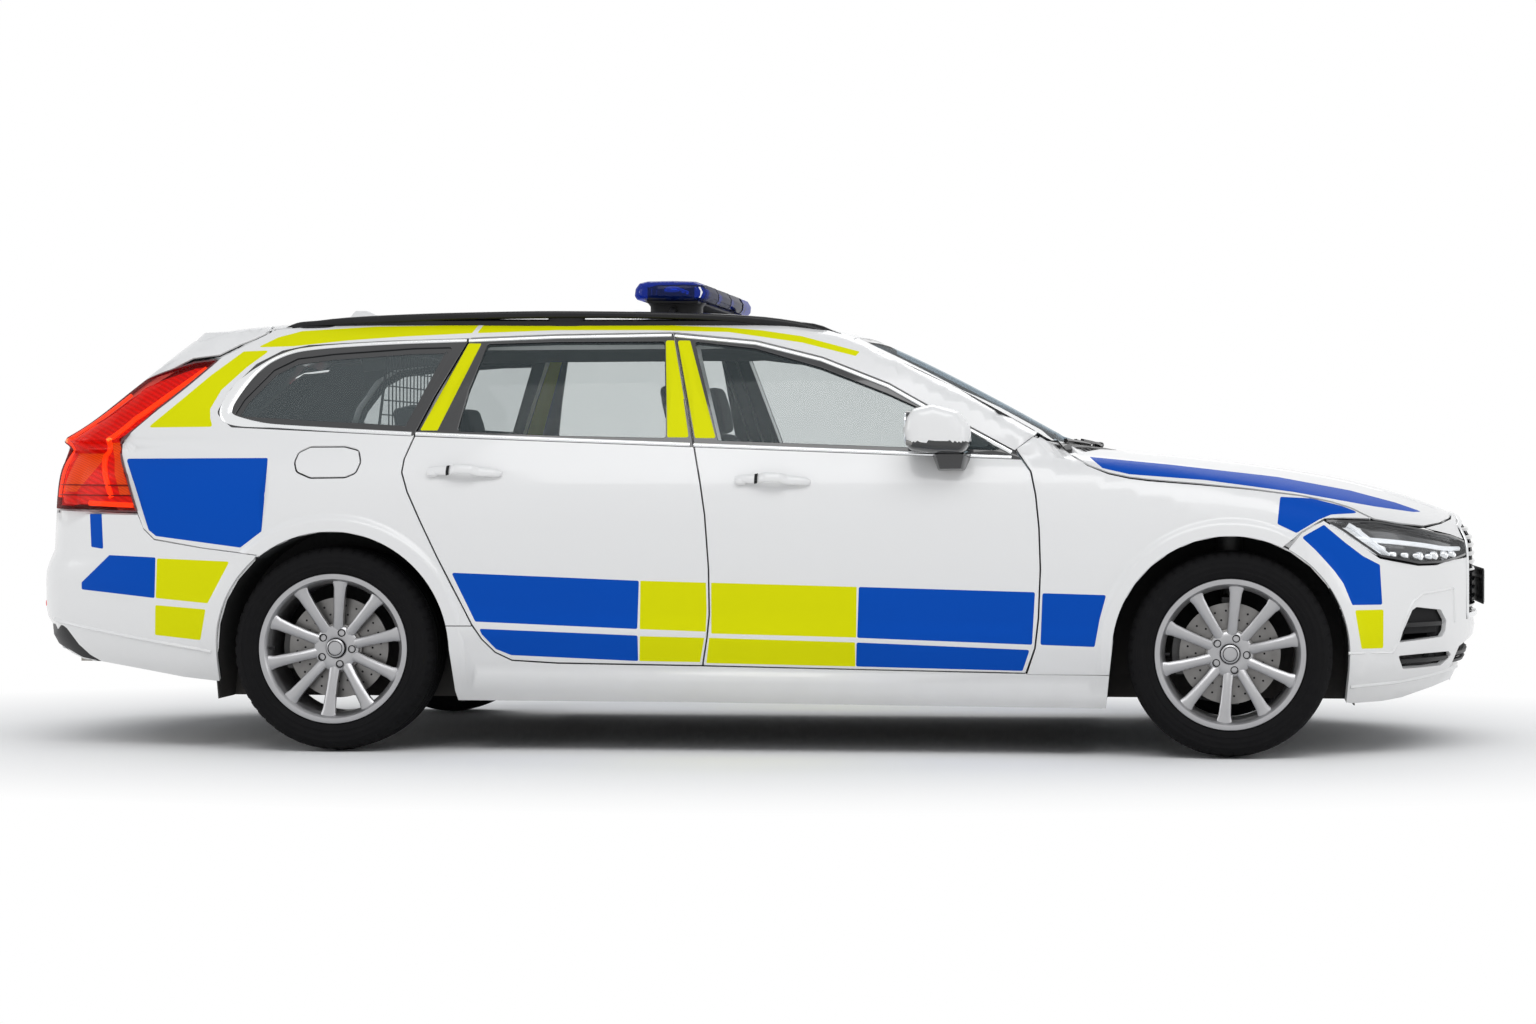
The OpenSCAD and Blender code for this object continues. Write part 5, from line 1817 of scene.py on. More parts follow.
REAR_TOP = [(-2001, 776), (-1978, 726), (-1942, 693), (-1778, 667), (-1592, 645)]
REAR_LOW = [(-1735, 221), (-1858, 234), (-1987, 257), (-2116, 277), (-2226, 292)]
REAR_FILM = (
    ([(-2102, 640), (-1937, 634), (-1941, 500), (-2205, 525), (-2205, 548)], BLUE),
    ([(-1932, 631), (-1686, 622), (-1761, 484), (-1937, 500)], YELLOW),
    ([(-1939, 477), (-1768, 464), (-1789, 362), (-1943, 378)], YELLOW),
    ([(-2179, 777), (-2133, 777), (-2125, 660), (-2171, 666)], BLUE),
)
REAR_CREASE = [(-2330, 419), (-2260, 409), (-2100, 382), (-1900, 348), (-1752, 324)]
TRIM_LINE = [(-2274, 393), (-2230, 340), (-2190, 306), (-2153, 287)]


REFLECTOR_Z = 470
REFLECTOR_Y = (545, 660)
PIPE_Y = 560
PIPE_Z = 334
PIPE_SIDES = 28


def tail_pipe(y):
    """A flattened pipe end with a dark bore."""
    rings = []
    shape = oval(PIPE_SIDES, 66, 23, 3.2)
    for x, scale in ((-2280, 1.0), (-2352, 1.0), (-2356, 0.97), (-2356, 0.86), (-2290, 0.82)):
        rings.append([(x, y + a * scale, PIPE_Z + b * scale) for a, b in shape])
    pipe = tube(rings, TRIM, 40.0)
    bore = PIPE_SIDES * 3
    pipe.finish[bore:] = [SEAL] * (len(pipe.finish) - bore)
    return pipe


def rear_bumper_outline():
    arch = tail_line([*arch_line(AXLES[1], 128, 180), (-1733, 290)])
    right = [(0, 652), *on_tail([(640, 652), (646, 660), (650, 779)]),
        (tail_turn(-2150, 778), 778), *tail_line(REAR_TOP), *arch, *tail_line(REAR_LOW),
        *on_tail([(500, 290)]), (0, 290)]
    return kept_in(eased(mirror_line(right), 5))


def rear_bumper_zones():
    """The film on the corners and the black skirt."""
    zones = []
    for points, kind in REAR_FILM:
        zones.extend((z, kind) for z in both_turns(eased(tail_line(points), 6)))
    skirt_side = tail_line([(-2290, 402), *TRIM_LINE, (-2130, 276)])
    skirt = [(0, 395), *on_tail([(560, 395)]), *skirt_side,
        (at_width(from_tail, 286, 480), 280), (0, 280)]
    return [*zones, (eased(mirror_line(skirt), 8), MATT)]


def rear_bumper_side(s):
    """The crease, the reflector and the tail pipe of one side."""
    path = np.array(tail_line(dense(REAR_CREASE, 20, False))) * np.array([s, 1])
    crease = swept(path, [(-8, -3), (-5, 1), (0, 5), (5, 2), (9, -3)], PAINT, from_tail)
    reach = np.linspace(*[at_width(from_tail, REFLECTOR_Z, wide) for wide in REFLECTOR_Y], 12)
    # The reflector bar takes the red lamp lens finish, so it glows faintly though it is no lamp: a
    # painted glow.
    reflector_bar = swept([(s * t, REFLECTOR_Z) for t in reach], [(-10, -3), (-9, 1), (0, 2),
        (9, 1), (10, -3)], RED, from_tail)
    return [crease, reflector_bar, tail_pipe(-s * PIPE_Y)]


def make_rear_bumper():
    skin = trimmed(from_tail, rear_bumper_outline(), (), rear_bumper_zones(), finish=PAINT)
    # The hem's deep black band is partly rubber seal, partly painted shade in the gap round the
    # bumper.
    sheets = [skin, hem(skin, ROUND, 22, SEAL, 12)]
    for s in (1, -1):
        sheets.extend(rear_bumper_side(s))
    step = [(t, 645) for t in np.linspace(-860, 860, 50)]
    sheets.append(swept(step, [(-5, -8), (-5, 2), (5, 2), (5, -8)], MATT, from_tail))
    sheets.append(lining_of("rear_bumper", 10, PAINT, SEAL))
    solid_object("rear_bumper_skin", sheets, panel_finishes(), "root",
        "rear_bumper")


GATE_PANE = [(-585, 1094), (-598, 1112), (-522, 1316)]


def gate_measure(z):
    """The tailgate's own measure of a height on its middle line."""
    return gate_turn(float(TAIL(z)), z)


SPOILER_END = [(-1640, 604, 1397), (-1720, 634, 1352), (-1817, 650, 1298), (-1860, 634, 1322),
    (-1902, 606, 1358), (-1902, 602, 1366), (-1880, 594, 1389), (-1760, 598, 1394)]
SPOILER_MID = [(-1654, 0, 1424), (-1720, 0, 1330), (-1900, 0, 1330), (-1950, 0, 1345),
    (-1988, 0, 1358), (-1988, 0, 1366), (-1960, 0, 1390), (-1800, 0, 1412)]


def spoiler_sheet():
    """The roof spoiler, a wing between two end plates."""
    end, mid = np.array(SPOILER_END, float), np.array(SPOILER_MID, float)
    rings = []
    core = end.mean(0)
    for t in (0, 0.01, 0.025, 0.05, 0.1, 0.2, 0.35, 0.5, 0.65, 0.8, 0.95, 1.0):
        f = 1 - (1 - t) ** 2.2
        ring_points = end * (1 - f) + mid * f
        ring_points[:, 1] = end[:, 1] * (1 - t)
        if t < 0.05:
            shrink = 1 - 0.10 * (1 - t / 0.05) ** 2
            ring_points = core * (1 - shrink) + ring_points * shrink
            ring_points[:, 1] = end[:, 1] * (1 - t)
        rings.append(ring_points)
    right = [r * np.array([1, -1, 1]) for r in rings]
    return tube(right + rings[::-1][1:], PAINT, 40.0)


def gate_outline():
    side = [(-634, gate_turn(-2428, 659)), (-636, gate_turn(-2418, 780)),
        (-638, gate_turn(-2400, 1000)), (-638, gate_turn(-2230, 1080)),
        (-638, gate_turn(-2080, 1190))]
    upper = gate_line([(-1885, 1290), (-1800, 1302), (-1740, 1338), (-1690, 1362),
        (-1658, 1380)])
    upper = [(y + 3, t) for y, t in upper]
    right = [(0, gate_turn(-2428, 659)), *side, *upper, (-560, gate_turn(-1657, 1410)),
        (0, gate_turn(-1657, 1424))]
    return kept_in(eased(mirror_line(right), 6))


def on_gate(points):
    """Places on the tailgate, each from its distance across the car and its height."""
    return [(y, gate_measure(z)) for y, z in points]


def gate_bars():
    """The bright strip, the grip over the plate, and the wiper's arm and blade."""
    strip = on_gate([(y, 905) for y in np.linspace(-560, 560, 40)])
    grip = on_gate([(y, 882) for y in np.linspace(-240, 240, 20)])
    arm = dense(on_gate([(0, 1108), (60, 1130), (200, 1146), (330, 1150)]), 16, False)
    blade = dense(on_gate([(60, 1116), (430, 1140)]), 20, False)
    return [
        swept(strip, [(-12, -4), (-10, 4), (0, 6), (10, 4), (12, -4)], TRIM, from_gate),
        swept(grip, [(-9, -4), (-9, 8), (9, 8), (9, -4)], MATT, from_gate),
        swept(arm, [(-9, 2), (-7, 14), (7, 14), (9, 2)], MATT, from_gate),
        swept(blade, [(-5, -4), (-7, 6), (0, 10), (7, 6), (5, -4)], SEAL, from_gate),
    ]


def make_tailgate():
    window = eased(mirror_line([(0, gate_measure(1090)), *on_gate(GATE_PANE),
        (0, gate_measure(1320))]), 18)
    plate_bed = on_gate([(-300, 728), (-300, 872), (300, 872), (300, 728)])
    zones = [(grown(window, 34), GLOSS), (eased(plate_bed, 12), MATT)]
    sheets = side_skin(gate_outline(), [window], zones, step=40, surface=from_gate)
    sheets.append(spoiler_sheet())
    sheets.append(box_sheet((-1990, -170, 1338), (-1960, 170, 1350), RED, 3))
    sheets.extend(gate_bars())
    sheets.append(lining_of("tailgate", 9, PAINT, LINING))
    solid_object("tailgate_skin", sheets, panel_finishes(), "tailgate", "tailgate")
    plain_object("tailgate_pane", bordered_pane(grown(window, 4), from_gate, 30, 5),
        ["tinted_glass", "gloss_black"], "tailgate", "tailgate_glass")


def make_plates():
    for node, body in (("front_plate", "root"), ("rear_plate", "tailgate")):
        low, high = (np.array(v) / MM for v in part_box(node))
        front = node == "front_plate"
        s = 1 if front else -1
        x = high[0] if front else low[0]
        y0, y1, z0, z1 = low[1], high[1], low[2], high[2]
        inner = sorted((x - s * 9, x - s * 3))
        face = sorted((x - s * 4, x))
        sheets = [box_sheet((inner[0], y0 - 6, z0 - 6), (inner[1], y1 + 6, z1 + 6), 1, 2.5)]
        sheets.append(box_sheet((face[0], y0, z0), (face[1], y1, z1), 0, 1.6))
        for y in (-150, 150):
            sheets.append(blob((x, y, (z0 + z1) / 2), (4, 15, 15), 2, 2.4, 16, 8))
        plain_object(f"{node}_blank", sheets, ["plate_face", "black_plastic", "bright_trim"],
            body, node)


# ---------------------------------------------------------------- roof equipment and mirrors

RAIL_TOP = [(-1605, 1405), (-1551, 1425), (-1483, 1431), (-1415, 1439), (-1212, 1451),
    (-1009, 1458), (-670, 1464), (-467, 1463), (-200, 1458), (7, 1448), (75, 1441), (142, 1431),
    (210, 1414), (312, 1365), (340, 1345)]
RAIL_LOW = [(-1596, 1393), (-1475, 1408), (-1205, 1422), (-934, 1434), (-529, 1439),
    (-192, 1434), (146, 1399), (315, 1352)]


def make_rails():
    top, low = Curve(RAIL_TOP), Curve(RAIL_LOW)
    x = np.concatenate([np.linspace(-1603, -1480, 10), np.linspace(-1440, 140, 30),
        np.linspace(170, 338, 14)])
    wide = sizes().rail_width / MM / 2
    rings = []
    for at in x:
        up, down = float(top(at)), float(low(at))
        mid = (up + down) / 2
        tall = max((up - down) / 2, 5)
        y = -591 - 14 * math.sin(math.pi * (at + 1603) / 1941)
        end = min(1.0, (at + 1620) / 90, (350 - at) / 90)
        shape = oval(16, wide * (0.45 + 0.55 * end), tall, 3.0)
        rings.append([(at, y + a, mid + b) for a, b in shape])
    sheets = [tube(rings, 0)]
    along = np.linspace(-1570, 290, 60)
    web = np.column_stack([along, -590 - 12 * np.sin(math.pi * (along + 1603) / 1941)])
    sink = 16 * (1 - smooth(along, -1570, -1470) * (1 - smooth(along, 200, 290)))
    sheets.append(swept(web, [(-13, -6), (-9, 14), (9, 14), (13, -6)], 0, from_top, lift=-sink))
    for at in (-1490, -640, 130):
        base = float(low(at))
        rings = []
        for z, grow in ((base - 32, 1.25), (base - 14, 1.05), (base + 4, 1.0)):
            shape = oval(20, 62 * grow, 13 * grow, 3.0)
            rings.append([(at + a, -600 + b, z) for a, b in shape])
        sheets.append(tube(rings, 0))
    plain_object("roof_rail_bars", both_sides(sheets), ["rail_black"], "root", "roof_rails")


BAR_END = [(-417, 1506), (-425, 1518), (-422, 1542), (-408, 1562), (-380, 1569), (-292, 1571),
    (-215, 1569), (-180, 1556), (-168, 1535), (-170, 1514), (-182, 1502), (-292, 1500)]


BAR_MIDDLE = np.array([-292.0, 1530.0])
BAR_COVER, BAR_BLACK, BAR_MIRROR = range(3)


def bar_ring(shell, y, scale):
    """The light bar's section, at a place across the car."""
    return [(a, y, b) for a, b in BAR_MIDDLE + (shell - BAR_MIDDLE) * scale]


def make_light_bar():
    shell = np.array(eased(BAR_END, 10))
    ends = ((505, 1.0), (540, 0.96), (560, 0.87), (572, 0.7), (578, 0.45))
    rings = [bar_ring(shell, -y, scale) for y, scale in ends[::-1]]
    rings += [bar_ring(shell, y, scale) for y, scale in ends]
    sheets = [tube(rings, BAR_COVER)]
    for y in range(-528, 529, 96):
        sheets.append(box_sheet((-372, y - 38, 1506), (-212, y + 38, 1520), BAR_BLACK, 3))
        for x, lean in ((-392, -1), (-192, 1)):
            rows = [[(x + lean * 8 * (1 - abs(b)), y + a * 36, 1530 + b * 18) for a, b in
                ((-1, -1), (-1, 0), (-1, 1), (1, 1), (1, 0), (1, -1))]]
            rows.append([(x - lean * 20, p[1], p[2]) for p in rows[0]])
            sheets.append(tube(rows, BAR_MIRROR, 30.0))
        sheets.append(blob((-292, y, 1536), (60, 50, 30), BAR_MIRROR, 2.6, 16, 8))
    sheets.append(box_sheet((-380, -535, 1494), (-204, 535, 1508), BAR_BLACK, 4))
    for s in (-1, 1):
        rings = []
        for z, grow in ((1440, 1.15), (1462, 1.0), (1486, 1.0), (1500, 1.12)):
            shape = oval(24, 88 * grow, 46 * grow, 4.0)
            rings.append([(-292 + a, s * 440 + b, z) for a, b in shape])
        sheets.append(tube(rings, BAR_BLACK))
        sheets.append(wire([(-292, s * y, z) for y, z in ((470, 1478), (520, 1474), (560, 1460),
            (575, 1446))], 9, BAR_BLACK))
    for y in (-300, 0, 300):
        seam = [bar_ring(shell, y + off, 1.012) for off in (-3, 3)]
        sheets.append(tube(seam, BAR_BLACK, 30.0))
    plain_object("light_bar_unit", sheets, ["blue_cover", "black_plastic", "reflector"], "root",
        "light_bar")


def make_fin():
    rings = []
    for z, back, ahead, wide in ((1446, -1550, -1376, 29), (1456, -1549, -1383, 26),
            (1464, -1545, -1400, 21), (1474, -1538, -1430, 14), (1483, -1531, -1455, 9.5),
            (1489, -1526, -1468, 6.5), (1493, -1520, -1480, 3)):
        shape = oval(28, (ahead - back) / 2, wide, 2.0)
        rings.append([((ahead + back) / 2 + a, b, z) for a, b in shape])
    plain_object("fin_cover", [tube(rings, 0)], ["paint"], "root", "antenna_fin")


MIRROR = [(533, 1060), (540, 1100), (565, 1131), (630, 1146), (712, 1124), (751, 1070),
    (754, 1018), (728, 985), (640, 986), (549, 996)]
MIRROR_FOOT = [(644, 930), (729, 932), (742, 990), (628, 990)]


MIRROR_SPLIT = 1024
MIRROR_MIDDLE = (-958, 1068)
SHELL, BLACK, CAP, FACE = range(4)


def mirror_plate(line, x, thick, kind):
    """A flat piece that faces the rear, from its outline about the mirror's middle."""
    y, z = MIRROR_MIDDLE
    rings = [[(at, y + a * 0.92, z + b) for a, b in line] for at in (x, x + thick)]
    return tube(rings, kind, 30.0)


def make_mirror(left):
    side = "left" if left else "right"
    shell = np.array(dense(eased(MIRROR, 30), 9))
    mid = np.array([648.0, 1066.0])
    rings = []
    for y, scale in ((-868, 0.55), (-876, 0.78), (-892, 0.92), (-920, 0.99), (-965, 1.0),
            (-1000, 0.975), (-1018, 0.93), (-1030, 0.87), (-1037, 0.80), (-1041, 0.72),
            (-1044, 0.62), (-1045.5, 0.50), (-1046, 0.36), (-1046, 0.20), (-1046, 0.05)):
        rings.append([(a, y, b) for a, b in mid + (shell - mid) * scale])
    body = tube(rings, SHELL, 60.0)
    middles = [np.mean([body.points[i] for i in f], axis=0) for f in body.faces]
    body.finish = [BLACK if m[2] < MIRROR_SPLIT else SHELL for m in middles]
    sheets = [body]
    foot = eased(MIRROR_FOOT, 8)
    mid = foot.mean(0)
    sheets.append(tube([[(a, y, b) for a, b in mid + (foot - mid) * s] for y, s in
        ((-878, 1.15), (-905, 1.0), (-945, 0.95), (-962, 0.8))], BLACK))
    indicator = [(550 + t * 108, -1016 - 18 * math.sin(0.5 + t * 1.6), 1020) for t in
        np.linspace(0, 1, 14)]
    sheets.append(wire(indicator, 9, CAP))
    glass_ring = [(a * 62, b * 50) for a, b in oval(28, 1, 1, 3.4)]
    rim_ring = [(a * 1.1, b * 1.12) for a, b in glass_ring]
    sheets.append(mirror_plate(glass_ring, 541, 12, FACE))
    sheets.append(mirror_plate(rim_ring, 546, 22, BLACK))
    plain_object(f"mirror_{side}_shell", on_side(sheets, left), ["paint", "gloss_black",
        "clear_cap", "mirror_face"], f"front_door_{side}", f"mirror_{side}")


# ---------------------------------------------------------------- wheels

SPOKES = 10
SPOKE_LEAN = math.radians(13)
BOLTS = 5
BOLT_LEAN = math.radians(-3)
BOLT_CIRCLE = 54
TREAD_CUTS = 54
SHOULDER_BITE = 4.5
DISC_HOLES = 24
SILVER_PART, BRIGHT_PART, DARK_PART = range(3)


def tyre_profile(depth):
    """Half sections of the tread, shoulder, ribbed sidewall and bead, as (radius, y, bite)."""
    outer = [(233, 100, 0), (240, 104, 0), (247, 106, 0), (252, 112, 0), (258, 115.5, 0),
        (266, 118, 0), (268, 119.5, 0), (271, 119.5, 0), (273, 118.6, 0), (282, 120.4, 0),
        (284, 121.6, 0), (287, 121.6, 0), (289, 120.8, 0), (300, 119.8, 0), (302, 120.8, 0),
        (305, 120.4, 0), (307, 119, 0), (315, 115, 0), (321, 109, 1), (326, 101, 1),
        (329.5, 94, 1), (331.5, 84, 1)]
    across = [(333.4, 72, 0), (333.6, 66, 0), (333.6 - depth, 64.5, 0), (333.6 - depth, 57.5, 0),
        (334.6, 56, 0), (335.2, 30, 0), (335.2 - depth, 28.5, 0), (335.2 - depth, 20.5, 0),
        (335.4, 19, 0), (335.5, 0, 0)]
    half_line = outer + across
    other = [(r, -y, bite) for r, y, bite in half_line[:-1][::-1]]
    inside_line = [(238, -84, 0), (300, -108, 0), (318, -70, 0), (318, 70, 0), (300, 108, 0),
        (238, 84, 0)]
    return half_line + other + inside_line


def tyre_sheet():
    depth = sizes().tread_depth / MM
    profile = tyre_profile(depth)
    rings = []
    n = 4 * TREAD_CUTS
    for k in range(n):
        a = 2 * math.pi * k / n
        cut = SHOULDER_BITE * (k % 4 == 3)
        rings.append([((r - bite * cut) * math.cos(a), y, (r - bite * cut) * math.sin(a))
            for r, y, bite in profile])
    return tube(rings, 0, 32.0, closed=True)


SPOKE_STATIONS = ((48, -70, 19, 24), (70, -78, 17, 26), (110, -88, 16, 26),
    (160, -97, 17.5, 24), (200, -101, 20, 22), (224, -103, 27, 20), (230, -103, 31, 18))


def spoke_sheet(a):
    """One spoke at an angle, from the hub out to the lip."""
    rings = []
    c, s = math.cos(a), math.sin(a)
    for r, y, wide, deep in SPOKE_STATIONS:
        section = [(-wide, y + deep), (-wide, y + 6), (-wide + 5, y + 1), (-3, y - 1.5),
            (3, y - 1.5), (wide - 5, y + 1), (wide, y + 6), (wide, y + deep)]
        rings.append([(r * c - w * s, d, r * s + w * c) for w, d in section])
    return tube(rings, SILVER_PART, 40.0)


def bolt_sheets(a):
    """One wheel bolt in its socket."""
    x, z = BOLT_CIRCLE * math.cos(a), BOLT_CIRCLE * math.sin(a)
    socket = [(3, -62), (13, -62), (13, -79), (10, -80), (10, -66), (3, -66)]
    bolt = [[(x + 8.5 * math.cos(b), y, z + 8.5 * math.sin(b)) for b in
        np.linspace(0, 2 * math.pi, 7)[:-1]] for y in (-64, -76)]
    return [revolved(socket, 24, DARK_PART).moved((x, 0, z)), tube(bolt, BRIGHT_PART, 20.0)]


def rim_sheets():
    """The alloy's barrel, lip, hub, ten spokes, bolts and plain cap; its face looks to -y."""
    lip = [(229, 112), (236, 114), (245, 113), (247, 106), (240, 102), (232, 99), (222, 86),
        (219, 60), (219, -60), (222, -84), (232, -99), (240, -102), (247, -106), (245, -112),
        (236, -113), (229, -112), (222, -104), (213, -86), (212, -60), (212, 60), (214, 84),
        (222, 104)]
    hub = [(30, -38), (62, -40), (70, -44), (74, -50), (74, -70), (66, -76), (40, -77),
        (33, -74), (30, -66)]
    cap = [(0.5, -76), (27, -76), (30, -79), (30, -83), (26, -86), (14, -87.5), (0.5, -88)]
    groove = [(22.5, -86), (24.5, -86), (24.5, -87.6), (22.5, -87.9)]
    sheets = [revolved(lip, 120, SILVER_PART), revolved(hub, 60, SILVER_PART)]
    for k in range(SPOKES):
        sheets.append(spoke_sheet(2 * math.pi * k / SPOKES + SPOKE_LEAN))
    for k in range(BOLTS):
        sheets.extend(bolt_sheets(2 * math.pi * k / BOLTS + BOLT_LEAN))
    sheets.append(revolved(cap, 48, SILVER_PART))
    sheets.append(revolved(groove, 48, DARK_PART))
    sheets.append(wire([(x, -99, 0) for x in (-196, -204, -214)], 4.5, DARK_PART, 10))
    return sheets


def disc_sheets():
    face = [(70, -26), (165, -26), (165, -36), (120, -36), (82, -36), (80, -52), (74, -54),
        (70, -50)]
    sheets = [revolved(face, 90, 0, angle=30.0)]
    for k in range(DISC_HOLES):
        a = 2 * math.pi * k / DISC_HOLES
        for r, turn in ((112, a), (140, a + 0.1)):
            hole = (r * math.cos(turn), -36.2, r * math.sin(turn))
            sheets.append(blob(hole, (7, 2, 7), 1, 2.2, 10, 6))
    return sheets


def make_wheels():
    tyre = [tyre_sheet()]
    rim = rim_sheets()
    disc = disc_sheets()
    for end in ("front", "rear"):
        for side in ("left", "right"):
            low, high = (np.array(v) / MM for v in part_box(f"tyre_{end}_{side}"))
            centre = (low + high) / 2
            body = f"wheel_{end}_{side}"
            for made, word, kinds, slot in (
                (tyre, "tyre", ["tyre_rubber"], "tyre"),
                (rim, "rim", ["alloy", "bright_trim", "seal"], "wheel_alloy"),
                (disc, "disc", ["disc_iron", "seal"], "disc_iron"),
            ):
                sheets = on_side(made, side == "left")
                plain_object(f"{word}_{end}_{side}_form", [s.moved(centre) for s in sheets],
                    kinds, body, f"{word}_{end}_{side}")


# ---------------------------------------------------------------- cabin


def cushion(name, size, at, tilt, node, channels=3, crown=16):
    """A stuffed pad: crowned, pulled in at its corners, with sewn channels along its face."""
    bm = bmesh.new()
    bmesh.ops.create_cube(bm, size=1.0)
    bmesh.ops.subdivide_edges(bm, edges=bm.edges[:], cuts=13, use_grid_fill=True)
    thin = int(np.argmin(size))
    wide = [k for k in range(3) if k != thin]
    for v in bm.verts:
        c = np.array(v.co) * 2
        ball = c / max(np.linalg.norm(c, 7), 1e-6)
        p = ball * np.array(size) / 2
        u, w = c[wide[0]], c[wide[1]]
        swell = (1 - u * u) * (1 - w * w)
        p[thin] += math.copysign(crown * swell, c[thin]) * abs(c[thin])
        line = math.cos(w * math.pi * channels)
        groove = max(0.0, -line - 0.80) / 0.20
        bolster = math.exp(-((abs(w) - 0.62) / 0.05) ** 2)
        p[thin] -= math.copysign(5 * bolster + 3.5 * groove * (abs(w) < 0.6), c[thin]) * (
            abs(c[thin]) > 0.9)
        v.co = Vector(p)
    turn = Matrix.Rotation(math.radians(tilt), 4, "Y")
    for v in bm.verts:
        v.co = (turn @ v.co + Vector(at)) * MM
    mesh = bpy.data.meshes.new(name)
    bmesh.ops.recalc_face_normals(bm, faces=bm.faces[:])
    bm.to_mesh(mesh)
    bm.free()
    mesh.polygons.foreach_set("use_smooth", [True] * len(mesh.polygons))
    mesh.materials.append(finish("fabric"))
    obj = bpy.data.objects.new(name, mesh)
    bpy.context.scene.collection.objects.link(obj)
    more = obj.modifiers.new("rounder", "SUBSURF")
    more.levels = 1
    more.render_levels = 1
    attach(obj, "root")
    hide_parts(node)


def make_seats():
    for side, y in (("left", 370), ("right", -370)):
        cushion(f"seat_base_{side}", (512, 484, 120), (190, y, 446), 0, "front_seats", 3)
        cushion(f"seat_back_{side}", (120, 484, 632), (-155, y, 756), -22, "front_seats", 3)
        cushion(f"head_rest_{side}", (92, 252, 170), (-285, y, 1141), -14, "front_seats", 1, 8)
    cushion("bench_base", (492, 1230, 120), (-770, 0, 400), 0, "rear_bench", 5)
    cushion("bench_back", (120, 1190, 610), (-1075, 0, 700), -24, "rear_bench", 5)
    for k, y in enumerate((-400, 0, 400)):
        cushion(f"bench_rest_{k}", (84, 232, 160), (-1205, y, 1065), -14, "rear_bench", 1, 8)
    sheets = []
    for y in (370, -370):
        for s in (-1, 1):
            sheets.append(wire([(-262, y + s * 62, 985), (-276, y + s * 62, 1040),
                (-284, y + s * 62, 1100)], 6, 1))
            sheets.append(box_sheet((0, y + s * 200 - 14, 218), (340, y + s * 200 + 14, 250), 0,
                4))
        sheets.append(box_sheet((20, y - 170, 240), (330, y + 170, 392), 0, 12))
        sheets.append(blob((180, y - 250 * (1 if y < 0 else -1), 420), (330, 30, 90), 0, 4.0))
    for y in (-400, 0, 400):
        for s in (-1, 1):
            sheets.append(wire([(-1180, y + s * 50, 940), (-1196, y + s * 50, 1000),
                (-1204, y + s * 50, 1040)], 6, 1))
    plain_object("seat_frames", sheets, ["black_plastic", "bright_trim"], "root",
        ("front_seats", "rear_bench"))


DASH_HALF = 694
DASH_FRONT = 955
DASH_LINE = [(955, 905), (925, 932), (840, 934), (745, 928), (700, 912), (676, 880), (668, 840),
    (676, 790), (700, 745), (760, 712), (900, 706), (955, 716)]


def dash_top():
    """The dash from door to door, and the hood over the instruments."""
    rings = []
    for y in np.linspace(-DASH_HALF, DASH_HALF, 29):
        ease = 1 - 0.05 * (abs(y) / DASH_HALF) ** 6
        drop = 10 * (abs(y) / DASH_HALF) ** 4
        rings.append([(DASH_FRONT - (DASH_FRONT - x) * ease, y, z - drop) for x, z in DASH_LINE])
    hood = []
    for y, scale in ((195, 0.5), (215, 0.85), (260, 1.0), (370, 1.08), (480, 1.0), (525, 0.85),
            (545, 0.5)):
        hood.append([(720 + a * scale, y, 925 + b * scale) for a, b in oval(16, 62, 32, 3)])
    return [tube(rings, 0), tube(hood, 0)]


def dash_vents():
    """A plain screen, and four air vents with their slats."""
    sheets = [box_sheet((640, -125, 815), (668, 125, 955), 1, 8)]
    for y in (-590, -175, 175, 590):
        sheets.append(box_sheet((662, y - 52, 838), (684, y + 52, 884), 1, 5))
        for z in (846, 856, 866, 876):
            sheets.append(box_sheet((657, y - 46, z), (672, y + 46, z + 3), 2, 1))
    return sheets


def console_sheets():
    """The centre console with its gear lever and two cup rings."""
    rings = []
    for x, top, wide in ((300, 560, 80), (330, 610, 90), (460, 640, 93), (600, 668, 94),
            (680, 735, 95), (755, 765, 95)):
        rings.append([(x, a, b) for a, b in ((-wide, 402), (-wide, top - 18), (-wide + 18, top),
            (wide - 18, top), (wide, top - 18), (wide, 402))])
    sheets = [tube(rings, 0, 30.0)]
    sheets.append(wire([(520, 0, 650), (522, 0, 690), (518, 0, 728)], 9, 2))
    sheets.append(blob((517, 0, 740), (44, 44, 52), 1, 2.4))
    for y in (-45, 45):
        cup = revolved([(30, -3), (36, -3), (36, 3), (30, 3)], 28, 2)
        points = cup.points[:, [0, 2, 1]] + np.array([390, y, 628])
        sheets.append(Sheet(points, [f[::-1] for f in cup.faces], 40.0, 2))
    return sheets


def make_dashboard():
    plain_object("dash_form", [*dash_top(), *dash_vents(), *console_sheets()],
        ["lining", "gloss_black", "pale_grey"], "root", "dashboard")


SHAFT_TILT = 24
STEER_AT = (500, 370, 905)
STEER_R = 171


